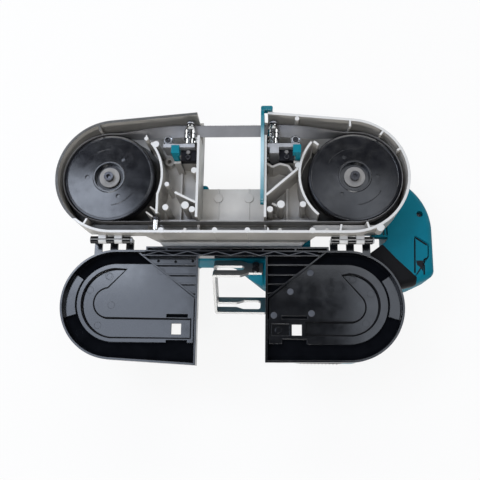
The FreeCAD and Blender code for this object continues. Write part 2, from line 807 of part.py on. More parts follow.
def wheel_screw(x):
    """Socket head screw in the shaft's end."""
    head_z = recess_z + 2
    head = rod(5.0, x, wheel_axis_y, head_z, head_z + 5)
    turns = [i * math.pi / 3 for i in range(6)]
    socket = polygon([(x + 2.5 * math.cos(turn), wheel_axis_y + 2.5 * math.sin(turn)) for turn in turns])
    shank = rod(3.0, x, wheel_axis_y, recess_z - 12, head_z)
    return joined(head, shank).cut(slab(socket, head_z + 2, head_z + 6))


def gear(module, teeth, shift, play, width, bore, x, y, z, phase):
    """Spur gear with involute flanks; one tooth is centred on the phase angle."""
    pitch = module * teeth / 2
    base = pitch * math.cos(pressure_angle)
    tip = pitch + module * (1 + shift)
    root = pitch - module * (1.25 - shift)
    involute = math.tan(pressure_angle) - pressure_angle
    half_tooth = (math.pi / 2 + 2 * shift * math.tan(pressure_angle)) / teeth - play / (2 * pitch)
    radii = [max(base, root) + (tip - max(base, root)) * step / 3 for step in range(4)]
    flank = []
    for radius in radii:
        alpha = math.acos(min(1.0, base / radius))
        flank.append((radius, half_tooth + involute - (math.tan(alpha) - alpha)))
    if root < base:
        flank.insert(0, (root, flank[0][1]))
    points = []
    for tooth in range(teeth):
        middle = phase + 2 * math.pi * tooth / teeth
        points += [(radius, middle - half) for radius, half in flank]
        points += [(radius, middle + half) for radius, half in reversed(flank)]
    wire = polygon([(x + r * math.cos(a), y + r * math.sin(a)) for r, a in points])
    return slab(wire, z, z + width).cut(rod(bore, x, y, z - 1, z + width + 1))


def intermediate_axis():
    """Place of the intermediate shaft, at both gear distances."""
    dx, dy = motor_x - drive_x, motor_y - wheel_axis_y
    span = math.hypot(dx, dy)
    along = (output_gap ** 2 - input_gap ** 2 + span ** 2) / (2 * span)
    aside = math.sqrt(output_gap ** 2 - along ** 2)
    ux, uy = dx / span, dy / span
    return drive_x + ux * along + uy * aside, wheel_axis_y + uy * along - ux * aside


def mesh_angle(x0, y0, x1, y1):
    """Direction of one axis from another."""
    return math.atan2(y1 - y0, x1 - x0)


def output_gear():
    """Large gear on the drive shaft."""
    phase = mesh_angle(drive_x, wheel_axis_y, *intermediate_axis())
    z = back_z - 4 - output_gear_width
    return gear(output_module, output_teeth, -profile_shift, tooth_play, output_gear_width, shaft_radius,
                drive_x, wheel_axis_y, z, phase)


def intermediate_shaft():
    """Shaft with the second stage pinion cut in it."""
    x, y = intermediate_axis()
    phase = mesh_angle(x, y, drive_x, wheel_axis_y) + math.pi / output_pinion_teeth
    z = back_z - 4 - output_gear_width
    pinion = gear(output_module, output_pinion_teeth, profile_shift, tooth_play, output_gear_width, 3.0,
                  x, y, z, phase)
    return joined(pinion, rod(3.0, x, y, gear_case_z + 0.5, floor_z), rod(5.0, x, y, z - 0.8, z))


def intermediate_gear():
    """First stage gear pressed on the intermediate shaft."""
    x, y = intermediate_axis()
    phase = mesh_angle(x, y, motor_x, motor_y)
    z = back_z - 4 - output_gear_width - 1 - input_gear_width
    wheel = gear(input_module, input_teeth, -profile_shift, tooth_play, input_gear_width, 3.0, x, y, z, phase)
    return wheel


def rotor_shaft():
    """Motor shaft with its pinion at the front end."""
    x, y = intermediate_axis()
    phase = mesh_angle(motor_x, motor_y, x, y) + math.pi / input_pinion_teeth
    z = back_z - 4 - output_gear_width - 2 - input_gear_width
    pinion = gear(input_module, input_pinion_teeth, profile_shift, tooth_play, input_gear_width + 2, 1.0,
                  motor_x, motor_y, z, phase)
    core = rod(1.0, motor_x, motor_y, z, z + input_gear_width + 2)
    neck = rod(2.6, motor_x, motor_y, gear_case_z + 2.1, z)
    shaft = rod(rotor_shaft_radius, motor_x, motor_y, end_cap_z - 1, gear_case_z + 2.1)
    return joined(pinion, core, neck, shaft)


def case_lobes(grow):
    """The three round lobes of the gear case, (x, y, radius), with a wall allowance."""
    output_tip = output_module * (output_teeth / 2 + 1 - profile_shift)
    input_tip = input_module * (input_teeth / 2 + 1 - profile_shift)
    x, y = intermediate_axis()
    return [
        (drive_x, wheel_axis_y, output_tip + gear_tip_gap + grow),
        (x, y, input_tip + gear_tip_gap + grow),
        (motor_x, motor_y, small_bearing_radius + 3.5 + grow),
    ]


def gear_case():
    """Cast cup behind the floor that holds the two gear stages."""
    outer = [rod(radius, x, y, gear_case_z, back_z) for x, y, radius in case_lobes(gear_case_wall)]
    inner = [rod(radius, x, y, gear_case_z + 4, back_z) for x, y, radius in case_lobes(0)]
    tail_boss = rod(16.0, drive_x, wheel_axis_y, gear_case_z - 6, gear_case_z)
    nose_boss = rod(13.0, motor_x, motor_y, gear_case_z - 5, gear_case_z)
    body = outer[0].fuse(outer[1:] + [tail_boss, nose_boss]).cut(inner)
    x, y = intermediate_axis()
    cuts = [
        rod(13.0, drive_x, wheel_axis_y, gear_case_z - 5, gear_case_z + 5),
        rod(tail_radius + 1, drive_x, wheel_axis_y, gear_case_z - 7, gear_case_z),
        rod(small_bearing_radius, motor_x, motor_y, gear_case_z - 6, gear_case_z + 2),
        rod(4.5, motor_x, motor_y, gear_case_z, gear_case_z + 5),
        rod(3.0 + running_gap, x, y, gear_case_z - 1, gear_case_z + 5),
    ]
    return body.cut(cuts).removeSplitter()


def ring_bearing(outer, inner, x, y, z0, z1):
    """Ball bearing as one ring with a grooved face."""
    middle = (outer + inner) / 2
    return tube(outer, inner, x, y, z0, z1).cut(tube(middle + 1, middle - 1, x, y, z1 - 0.6, z1))


def drive_shaft():
    """Stepped shaft that carries the drive wheel and the output gear."""
    shaft = rod(shaft_radius, drive_x, wheel_axis_y, gear_case_z + 9, recess_z)
    collar = rod(shaft_radius + 2, drive_x, wheel_axis_y, back_z - 4, back_z - 1)
    tail = rod(tail_radius, drive_x, wheel_axis_y, gear_case_z - 4.5, gear_case_z + 9)
    return joined(shaft, collar, tail).cut(rod(3.0, drive_x, wheel_axis_y, recess_z - 12, recess_z))


def motor_stator():
    """Ring of laminations with winding slots."""
    top = stator_top_z
    ring = rod(stator_radius, motor_x, motor_y, top - stator_length, top)
    ring = ring.cut(rod(stator_bore, motor_x, motor_y, top - stator_length, top))
    slots = []
    for i in range(6):
        slot = block(stator_bore - 1, stator_bore + 7, -1.5, 1.5, top - stator_length, top)
        slot.rotate(vec(0, 0), vec(0, 0, 1), 60 * i)
        slot.translate(vec(motor_x, motor_y))
        slots.append(slot)
    return ring.cut(slots)


def rotor_core():
    """Magnet rotor on the motor shaft."""
    top = stator_top_z - 1
    core = rod(stator_bore - rotor_gap, motor_x, motor_y, top - stator_length + 2, top)
    return core.cut(rod(rotor_shaft_radius, motor_x, motor_y, top - stator_length, top + 1))


def cooling_fan():
    """Radial fan behind the stator."""
    top = fan_top_z
    low = top - fan_depth
    disc = rod(fan_radius, motor_x, motor_y, top - 2, top)
    hub = rod(8.0, motor_x, motor_y, low, top)
    blades = []
    for i in range(9):
        blade = block(7, fan_radius, -0.8, 0.8, low, top)
        blade.rotate(vec(0, 0), vec(0, 0, 1), 40 * i)
        blade.translate(vec(motor_x, motor_y))
        blades.append(blade.common(rod(fan_radius, motor_x, motor_y, low, top)))
    fan = joined(disc, hub, *blades)
    return fan.cut(rod(rotor_shaft_radius, motor_x, motor_y, low - 1, top + 1))


def body_outline():
    """Plan of the main housing: battery end at the right, arm to the front grip at the left."""
    return rounded([
        (arm_left_x, arm_edge_y, 12), (0, arm_edge_y, 14), (36, -42, 12), (80, -46, 12), (176, -46, 10),
        (196, -41, 8), (housing_end_x, -30, 10), (housing_end_x, body_top_y, housing_round),
        (100, body_top_y, 20), (88, arm_top_y, 14), (arm_left_x, arm_top_y, 12),
    ])


def hinge_window():
    """Open space behind the right hinge, between the gear end, the handle root and the battery end."""
    left = window_left_x
    return rounded([(left, -10, 8), (146, -10, 10), (170, 8, 10), (170, 27, 6), (left, 27, 6)])


def vent_plate():
    """Slotted plate in the front corner of that space."""
    plate = block(152, 175, 11.5, 30, back_z - 10, back_z)
    slots = [block(x, x + 2, 13.5, 27, back_z - 11, back_z + 1) for x in (164.5, 168.5)]
    return plate.cut(slots)


def battery_foot():
    """Deep end of the housing behind the battery contacts, which the saw also rests on."""
    foot = slab(rounded([(186, -33, 6), (200, -33, 6), (210, -24, 6), (210, 40, 10), (186, 40, 8)]),
                table_z, housing_back_z + 10)
    return rounded_front(foot, table_z, 3.0)


def front_foot():
    """Foot of the housing on the back of the casting beside the throat."""
    return slab(rounded([(-46, 30, 2), (-27.5, 30, 2), (-27.5, 70.5, 4), (-46, 70.5, 4)]), back_z - 8, back_z)


def bumper_region():
    """Corner of the housing's front that the rubber bumper covers."""
    corners = [(140, 3.0), (164.5, 3.0), (177.8, -11.8), (199.0, -32.5), (199.0, -60), (140, -60)]
    return slab(polygon(corners), back_z - bumper_depth, back_z + 1)


def housing_bumper():
    """Rubber bumper, flush with the housing's front."""
    return housing_blank().common(bumper_region())


def handle_outline():
    """Plan of the D-handle."""
    low = grip_back_y
    return rounded([(46, -30, 4), (52, low, 18), (146, low, 30), (176, -70, 20), (176, -30, 4)])


def finger_opening():
    """Gap behind the grip."""
    return rounded([(60, -46, 8), (140, -46, 9), (134, grip_edge_y, 10), (64, grip_edge_y, 8)])


def rounded_front(solid, level, radius):
    """Round the edges of a solid's top or bottom face."""
    edges = []
    for edge in solid.Edges:
        box = edge.BoundBox
        if abs(box.ZMin - level) < 1e-6 and abs(box.ZMax - level) < 1e-6:
            edges.append(edge)
    return solid.makeFillet(radius, edges)


def housing_blank():
    """Housing, handle and motor drum as one solid before the inside is taken out."""
    body = slab(body_outline(), housing_back_z, back_z)
    body = rounded_front(body, back_z, housing_edge_round)
    body = rounded_front(body, housing_back_z, housing_edge_round)
    handle = slab(handle_outline(), handle_back_z, handle_front_z)
    handle = rounded_front(handle, handle_front_z, housing_edge_round)
    handle = rounded_front(handle, handle_back_z, housing_edge_round)
    drum = rod(motor_radius, motor_x, motor_y, end_cap_z, drum_top_z)
    cuts = [slab(finger_opening(), housing_back_z - 1, back_z + 1), hook_valley()]
    cuts.append(slab(hinge_window(), housing_back_z - 1, back_z + 1))
    body = body.fuse([handle, drum, battery_foot()]).cut(cuts)
    return body.fuse([hook_seat(), vent_plate(), front_foot()])


def housing_hollows():
    """Everything that sits inside the housing, as solids to take out."""
    hollows = [rod(radius, x, y, gear_case_z, back_z + 1) for x, y, radius in case_lobes(gear_case_wall)]
    hollows.append(rod(16.5, drive_x, wheel_axis_y, gear_case_z - 7, gear_case_z))
    bore = rod(motor_bore, motor_x, motor_y, end_cap_z - 1, gear_case_z)
    top = gear_case_z - 12
    ribs = []
    for i in range(6):
        stay = block(stator_radius, motor_bore + 1, -2, 2, top - stator_length, top)
        stay.rotate(vec(0, 0), vec(0, 0, 1), 60 * i + 30)
        stay.translate(vec(motor_x, motor_y))
        ribs.append(stay)
    hollows.append(bore.cut(ribs))
    hollows += grip_hollows() + front_marks()
    hollows.append(terminal_recess())
    for y in hook_screw_places():
        hollows.append(hook_local(rod(2.0, 0, y, -9, 1)))
    return hollows


def front_marks():
    """Screw well and groove lines in the front of the battery end."""
    well = rod(3.4, 205.4, 37.6, back_z - 8, back_z + 1)
    bends = [(199.0, 12.6), (213.0, 3.7), (212.4, -9.7), (196.8, -33.0)]
    lines = [rib(*start, *end, 1.4, back_z - 1.6, back_z + 1) for start, end in zip(bends, bends[1:])]
    return [well] + lines


def grip_hollows():
    """Room for the trigger, the switch and the lock-off button in the grip."""
    half = trigger_width / 2 + slide_gap
    reach = trigger_length / 2 + slide_gap
    trigger_way = block(trigger_x - reach, trigger_x + reach, switch_y, grip_edge_y + 1,
                        grip_z - half, grip_z + half)
    collar = rod(button_radius + 2.3, button_x, button_y, grip_z - 3.3, grip_z + 0.7 + button_travel)
    bore = rod(button_radius + running_gap, button_x, button_y, handle_back_z - 1, handle_front_z + 1)
    return [trigger_way, switch_block(), collar, bore, grip_pad()]


def grip_pad():
    """Soft pad let into the outside of the grip."""
    top = grip_back_y + 4.5
    pad = rounded([(70, top, 2), (74, grip_back_y - 8, 2), (118, grip_back_y - 8, 2), (122, top, 2)])
    region = slab(pad, grip_z - 13, grip_z + 13)
    return region.common(slab(handle_outline(), handle_back_z, handle_front_z))


def switch_block():
    """Switch under the trigger."""
    return block(trigger_x - 17, trigger_x + 17, switch_y - switch_depth, switch_y, grip_z - 9, grip_z + 9)


def housing_half(low, high, cuts):
    """One shell of the housing between two levels."""
    span = block(-250, 250, -150, 150, low, high)
    return housing_blank().common(span).cut(housing_hollows() + cuts).removeSplitter()


def terminal_recess():
    """Recess in the flat end of the housing for the battery contacts."""
    return block(housing_end_x - 6, housing_end_x + 1, -24, 14, parting_z - 15, parting_z + 15)


def terminal_block():
    """Battery contact carrier with its two guide rails and contact fins."""
    x0, x1 = housing_end_x - 6, housing_end_x
    z0, z1 = parting_z - 15, parting_z + 15
    plate = block(x0, x0 + 2, -24, 14, z0, z1)
    rails = [block(x0, x1, y, y + 4, z0, z1) for y in (-24, 10)]
    fins = [block(x0, x1 - 1, y, y + 1.2, z0 + 8, z1 - 4) for y in (-14, -5.6, 2.8)]
    return joined(plate, *rails, *fins)


def motor_end_cap():
    """Vented cap that closes the motor drum and carries the rear bearing."""
    cap = rod(motor_radius, motor_x, motor_y, table_z, end_cap_z)
    cap = rounded_front(cap, table_z, 3.0)
    cap = cap.cut(rod(motor_bore - 4, motor_x, motor_y, table_z + 4, end_cap_z))
    boss = rod(small_bearing_radius + 3, motor_x, motor_y, table_z, end_cap_z + 5)
    vents = []
    for i in range(12):
        vent = block(17, motor_bore - 6, -1.5, 1.5, table_z - 1, table_z + 5)
        vent.rotate(vec(0, 0), vec(0, 0, 1), 30 * i)
        vent.translate(vec(motor_x, motor_y))
        vents.append(vent)
    seat = rod(small_bearing_radius, motor_x, motor_y, end_cap_z - 1, end_cap_z + 6)
    return cap.fuse(boss).cut(vents + [seat]).removeSplitter()


def front_grip():
    """Turned front grip under the arm."""
    r = front_grip_radius
    top = housing_back_z
    profile = [(0, top), (r, top), (r - 1, top - 6), (r - 4, top - 18), (r - 3, top - 32)]
    profile += [(r, table_z + 8), (r + 1, table_z + 4), (r - 2, table_z), (0, table_z)]
    return turned(profile, front_grip_x, front_grip_y)


def trigger():
    """Finger trigger that slides into the grip."""
    half = trigger_length / 2
    front = grip_edge_y + trigger_reach
    back = switch_y + trigger_travel + slide_gap
    wire = rounded([
        (trigger_x - half, back, 1), (trigger_x + half, back, 1), (trigger_x + half, front, 6),
        (trigger_x, front - 3, 12), (trigger_x - half, front, 6),
    ])
    return slab(wire, grip_z - trigger_width / 2, grip_z + trigger_width / 2)


def lock_button():
    """Push-through lock-off button."""
    pin = rod(button_radius, button_x, button_y, handle_back_z - button_travel - 0.5, handle_front_z)
    collar = rod(button_radius + 2, button_x, button_y, grip_z - 3, grip_z)
    return joined(pin, collar)


def hook_local(shape):
    """Turn a shape from the hook plate's own frame to its place on the housing."""
    placed = shape.copy()
    placed.rotate(vec(0, 0, 0), vec(1, 0, 0), -math.degrees(hook_tilt))
    placed.translate(vec(hook_base_x, hook_base_y, back_z))
    return placed


def hook_screw_places():
    """Places of the two hook screws across the plate."""
    return (-hook_screw_spacing / 2, hook_screw_spacing / 2)


def hook_seat():
    """Sloping pad on the housing under the hook's base plate."""
    half = hook_base_width / 2
    corners = [vec(-half, -9, 0), vec(half, -9, 0), vec(half, -9, -16), vec(-half, -9, -5)]
    return hook_local(Part.Face(Part.makePolygon(corners + corners[:1])).extrude(vec(0, 17, 0)))


def hook_valley():
    """Room over the hook's base plate, kept clear of the housing's straight edge."""
    left = hook_left_x - hook_base_x
    half = hook_width / 2 + 2
    room = hook_local(block(left - 2, hook_base_width / 2 + 2, -half, half, 0, 40))
    return room.common(block(-100, 100, -100, arm_edge_y + 0.4, -100, 0))


def tool_hook():
    """Slotted steel strip bent to a U, with a narrow base plate."""
    half = hook_width / 2
    left = hook_left_x - hook_base_x
    right = hook_tip_x - hook_base_x
    base = hook_base_width / 2
    low = -hook_opening - hook_thickness
    top_arm = slab(rounded([
        (base, -8.5, 1), (base, 8.5, 1), (-base, 8.5, 3), (-base - 9, half, 6), (left, half, 0.5),
        (left, -half, 0.5), (-base - 9, -half, 6), (-base, -8.5, 3),
    ]), 0, hook_thickness)
    side_arm = block(left, left + hook_thickness, -half, half, low, hook_thickness)
    low_plan = rounded([(left, -half, 0.5), (right, -half, 4), (right, half, 4), (left, half, 0.5)])
    low_arm = slab(low_plan, low, low + hook_thickness)
    slot = half - hook_bar
    end = -base - 5
    top_slot = rounded([(left - 1, -slot, 0.5), (end, -slot, 3), (end, slot, 3), (left - 1, slot, 0.5)])
    wide = slot + 3.5
    low_slot = rounded([
        (left - 1, -slot, 0.5), (left + 24, -slot, 4), (left + 32, -wide, 4), (right - 8, -wide, 3),
        (right - 8, wide, 3), (left + 32, wide, 4), (left + 24, slot, 4), (left - 1, slot, 0.5),
    ])
    cuts = [slab(top_slot, -1, hook_thickness + 1), slab(low_slot, low - 1, low + hook_thickness + 1)]
    cuts.append(block(left - 1, left + hook_thickness + 1, -slot, slot, low, hook_thickness))
    for y in hook_screw_places():
        cuts.append(rod(2.0, 0, y, -1, hook_thickness + 1))
    strip = joined(top_arm, side_arm, low_arm)
    bends = []
    for edge in strip.Edges:
        box = edge.BoundBox
        outer = abs(box.XMin - left) < 1e-6 and abs(box.XMax - left) < 1e-6
        level = abs(box.ZMax - box.ZMin) < 1e-6
        rim = abs(box.ZMin - low) < 1e-6 or abs(box.ZMin - hook_thickness) < 1e-6
        if outer and level and rim and edge.Length > hook_width / 2:
            bends.append(edge)
    strip = strip.makeFillet(hook_thickness - 0.2, bends)
    return hook_local(strip.cut(cuts))


def hook_screw(y):
    """Button head screw through the hook's base plate."""
    head = rod(3.8, 0, y, hook_thickness, hook_thickness + 2.2)
    return hook_local(joined(head, rod(2.0, 0, y, -8, hook_thickness)))


def stop_screw_places():
    """Places along the stop plate of its two screws."""
    return (stop_low_y + 17, stop_low_y + 58)


def stop_screw_z():
    """Level of the stop plate's screws."""
    return floor_z / 2


def stop_plate():
    """Plate against the throat wall that the work bears on, split at the end for the blade."""
    x1 = throat_right_x
    x0 = x1 - stop_thickness
    plate = block(x0, x1, stop_low_y, stop_high_y, back_z, stop_front_z)
    edges = [e for e in plate.Edges if abs(e.BoundBox.XMax - e.BoundBox.XMin) > 1 and e.BoundBox.ZMin > 0]
    plate = plate.makeFillet(6.0, edges)
    floor = block(x0 - 1, x1 + 1, stop_low_y - 1, throat_back_y, back_z - 1, floor_z)
    slot_low = band_y - blade_width / 2 - 4
    slot = block(x0 - 1, x1 + 1, slot_low, stop_high_y + 1, band_z - 7, band_z + 7)
    ear_y = throat_corner_y + slide_gap
    ear_x = x1 + stop_ear
    ear = rounded([(x0, ear_y, 0.5), (ear_x, ear_y, 2), (ear_x, stop_high_y, 2), (x0, stop_high_y, 2)])
    plate = plate.fuse(slab(ear, stop_front_z - stop_ear_depth, stop_front_z)).removeSplitter()
    low = stop_low_y - 1
    deep = back_z - 1
    corners = [vec(x0, low, stop_front_z - 6.5), vec(x0, low + stop_slant, deep), vec(x0, low, deep)]
    corner = Part.Face(Part.makePolygon(corners + corners[:1])).extrude(vec(stop_thickness, 0, 0))
    cuts = [slot, floor, corner]
    for y in stop_screw_places():
        cuts.append(rod_x(stop_screw_radius / 2, y, stop_screw_z(), x0 - 1, x1 + 1))
        cuts.append(rod_x(stop_screw_radius, y, stop_screw_z(), x0 - 1, x0 + 2))
    return plate.cut(cuts)


def stop_screw(y):
    """Flush screw that holds the stop plate to the throat wall."""
    x0 = throat_right_x - stop_thickness
    head = rod_x(stop_screw_radius, y, stop_screw_z(), x0 + 0.2, x0 + 2)
    shank = rod_x(stop_screw_radius / 2, y, stop_screw_z(), x0 + 2, throat_right_x + frame_wall + 2)
    return joined(head, shank)


def guide_block_x(side):
    """Left edge of the guide block at one side of the throat."""
    return right_block_x if side > 0 else left_block_x


def guide_pedestal(side):
    """Cast pedestal under the guide block."""
    x = guide_block_x(side)
    high = bracket_y - bracket_thickness
    top = band_z + 3 - guide_block_height
    return block(x, x + guide_block_width, high - guide_block_depth, high, floor_z, top)


def guide_block(side):
    """Moulded block on its pedestal, with a pin and a screw, that carries the guide bracket."""
    x = guide_block_x(side)
    high = bracket_y - bracket_thickness
    top = band_z + 3
    body = block(x, x + guide_block_width, high - guide_block_depth, high, top - guide_block_height, top)
    middle = x + guide_block_width / 2
    pin = rod(2.2, middle, high - 3, top, top + 2)
    screw = rod(3.0, middle, high - 8.6, top, top + 2)
    return joined(body, pin, screw)


def backup_x(side):
    """Place of the backup roller along the blade."""
    return side * roller_x + side * 24


def guide_bracket(side):
    """Steel plate with the studs of both guide rollers and the post of the backup roller."""
    x = side * roller_x
    far = backup_x(side)
    ends = sorted((x - side * 6, far + side * 4))
    plate = block(ends[0], ends[1], bracket_y - bracket_thickness, bracket_y, band_z - 12, band_z + 12)
    pieces = []
    for z in (band_z + roller_z, band_z - roller_z):
        top = roller_low_y + roller_length
        stud = rod_y(roller_bore, x, z, bracket_y, top + 1)
        head = rod_y(roller_bore + 2, x, z, top + 0.4, top + 3.4)
        washer = rod_y(roller_bore + 1.5, x, z, bracket_y, roller_low_y - 0.3)
        pieces += [stud, head, washer]
    half = backup_length / 2
    plate = plate.cut(rod(backup_radius + 0.6, far, backup_y, band_z - half - 0.3, 0))
    post = rod(4.5, far, backup_y, floor_z, band_z - half - 0.3)
    stud = rod(roller_bore, far, backup_y, floor_z, band_z + half + 2)
    head = rod(roller_bore + 2, far, backup_y, band_z + half + 0.3, band_z + half + 3)
    arm_low = min(far - 4, far + 4)
    arm = block(arm_low, arm_low + 8, bracket_y - bracket_thickness, backup_y, band_z - 12, band_z - half - 2)
    if side > 0:
        foot_end = guide_block_x(side) - slide_gap
        foot_high = bracket_y - bracket_thickness
        pieces.append(block(ends[0] + 2.5, foot_end, foot_high - 7, foot_high, floor_z, band_z + 12))
    return joined(plate, post, stud, head, arm, *pieces)


def guide_roller(side, level):
    """Flanged roller against one face of the blade, level +1 above it and -1 below it."""
    x = side * roller_x
    z = band_z + level * roller_z
    low, high = roller_low_y, roller_low_y + roller_length
    slim = roller_radius - 1.5
    flange_low, flange_high = low + 6, high - 7
    barrel = rod_y(slim, x, z, low, flange_low + 1)
    flange = rod_y(roller_radius, x, z, flange_low, flange_high)
    taper = cone_y(roller_radius - 0.3, roller_radius - 2.6, x, z, flange_high, high - 2)
    collar = rod_y(roller_radius - 3.2, x, z, high - 3, high)
    middle = (flange_low + flange_high) / 2
    neck = rod_y(roller_radius - 0.8, x, z, middle, middle + 1)
    groove = rod_y(roller_radius + 1, x, z, middle, middle + 1).cut(neck)
    bore = rod_y(roller_bore + running_gap, x, z, low - 1, high + 1)
    return joined(barrel, flange, taper, collar).cut([groove, bore])


def backup_roller(side):
    """Roller behind the blade's back edge."""
    x = backup_x(side)
    half = backup_length / 2
    return ring_bearing(backup_radius, roller_bore + running_gap, x, backup_y, band_z - half, band_z + half)


def keeper_z():
    """Level of the keeper roller's axis, just over the blade's edge."""
    return band_z + blade_width / 2 + blade_gap + keeper_radius


def keeper_pin():
    """Headed pin of the keeper roller in the lower wall."""
    start = frame_edge_y
    end = frame_edge_y + frame_wall + 1 + keeper_length
    shank = rod_y(keeper_radius / 2, keeper_x, keeper_z(), start, end + 1)
    return joined(shank, rod_y(keeper_radius - 0.5, keeper_x, keeper_z(), end + 0.4, end + 3))


def keeper_roller():
    """Roller that keeps the return run on the wheels."""
    start = frame_edge_y + frame_wall + 0.6
    barrel = rod_y(keeper_radius, keeper_x, keeper_z(), start, start + keeper_length)
    bore = keeper_radius / 2 + running_gap
    return barrel.cut(rod_y(bore, keeper_x, keeper_z(), start - 1, start + keeper_length + 1))


def blade_section(x, y, turn):
    """Rectangle of the blade's section, turned about x from edge-on to face-on."""
    wide = vec(0, math.sin(turn), math.cos(turn)) * (blade_width / 2)
    thin = vec(0, math.cos(turn), -math.sin(turn)) * (blade_thickness / 2)
    middle = vec(x, y, band_z)
    corners = [middle + wide + thin, middle + wide - thin, middle - wide - thin, middle - wide + thin]
    return Part.makePolygon(corners + corners[:1])


def blade():
    """Endless band: half rings at the wheels, flat return run, twisted runs and the face-on cutting run."""
    inner = wheel_radius + blade_gap
    outer = inner + blade_thickness
    low, high = band_z - blade_width / 2, band_z + blade_width / 2
    pieces = []
    start_y = wheel_axis_y + inner + blade_thickness / 2
    guide_x = drive_x - twist_start - twist_length
    for side in (-1, 1):
        x = side * drive_x
        turn = -90 if side > 0 else 90
        pieces.append(arc_rib(x, wheel_axis_y, inner, blade_thickness, turn, turn + 180, low, high))
        near = side * (drive_x - twist_start)
        run_y = wheel_axis_y + inner
        pieces.append(block(min(x, near), max(x, near), run_y, run_y + blade_thickness, low, high))
        sections = []
        for i in range(9):
            share = i / 8
            lift = (band_y - start_y) * share * share * (3 - 2 * share)
            place = near - side * twist_length * share
            sections.append(blade_section(place, start_y + lift, math.pi / 2 * share))
        pieces.append(Part.makeLoft(sections, True, True))
    pieces.append(block(-drive_x, drive_x, wheel_axis_y - outer, wheel_axis_y - inner, low, high))
    half = blade_thickness / 2
    wide = blade_width / 2
    pieces.append(block(-guide_x, guide_x, band_y - wide, band_y + wide, band_z - half, band_z + half))
    return joined(*pieces)


def idler_carriage():
    """Sliding plate with the idler axle and the window that the tension cam pushes on."""
    half = carriage_width / 2
    low, high = carriage_z, carriage_z + carriage_thickness
    left = pivot_x - cam_radius - cam_gap
    right = pivot_x + cam_radius + 1
    room = cam_radius + 1.5
    plate = block(idler_x - 30, right + 5, wheel_axis_y - half, wheel_axis_y + half, low, high)
    window = block(left, right, wheel_axis_y - room, wheel_axis_y + room, low - 1, high + 1)
    shoulder = rod(axle_shoulder(), idler_x, wheel_axis_y, low, wheel_back_z + 1.5)
    axle = rod(shaft_radius, idler_x, wheel_axis_y, low, recess_z)
    bore = rod(3.0, idler_x, wheel_axis_y, recess_z - 12, recess_z)
    return joined(plate.cut(window), shoulder, axle).cut(bore)


def tension_lever():
    """Hand lever with the spiral cam inside the carriage's window."""
    top = back_z - slide_gap
    rise = release_travel / lever_turn
    points = []
    steps = 24
    for i in range(steps):
        angle = 2 * math.pi * i / steps
        active = min(angle, lever_turn)
        radius = cam_radius - rise * active
        if angle > lever_turn:
            share = (angle - lever_turn) / (2 * math.pi - lever_turn)
            radius = cam_radius - release_travel * (1 - share)
        points.append(vec(pivot_x - radius * math.cos(angle), wheel_axis_y - radius * math.sin(angle)))
    curve = Part.makePolygon(points + points[:1])
    cam = slab(curve, top - carriage_thickness, top)
    grip_top = carriage_z - 4
    hub = rod(pivot_radius + 5, pivot_x, wheel_axis_y, grip_top - 9, top - carriage_thickness)
    lean = math.radians(165)
    end = vec(pivot_x + lever_length * math.cos(lean), wheel_axis_y + lever_length * math.sin(lean))
    arm = rib(pivot_x, wheel_axis_y, end.x, end.y, 11.0, grip_top - 9, grip_top - 1)
    knob = rod(8.0, end.x, end.y, grip_top - 11, grip_top - 1)
    bore = rod(pivot_radius + running_gap, pivot_x, wheel_axis_y, grip_top - 12, back_z)
    return joined(cam, hub, arm, knob).cut(bore)


def bearing_pair():
    """Bearings of the drive shaft and of the motor shaft."""
    running = shaft_radius + running_gap
    tail = tail_radius + running_gap
    small = rotor_shaft_radius + running_gap
    outer = small_bearing_radius
    top = gear_case_z + 2
    low = end_cap_z - 1
    front = wheel_back_z - 15
    rear = gear_case_z + 3
    return {
        "shaft_bearing_front": ring_bearing(14.0, running, drive_x, wheel_axis_y, front - 8, front),
        "shaft_bearing_rear": ring_bearing(13.0, tail, drive_x, wheel_axis_y, rear - 8, rear),
        "motor_bearing_front": ring_bearing(outer, small, motor_x, motor_y, top - small_bearing_width, top),
        "motor_bearing_rear": ring_bearing(outer, small, motor_x, motor_y, low, low + small_bearing_width),
    }


def idler_bearing():
    """Bearing of the idler wheel on its axle."""
    low = wheel_back_z + 2
    return ring_bearing(14.0, shaft_radius + running_gap, idler_x, wheel_axis_y, low, low + 8)


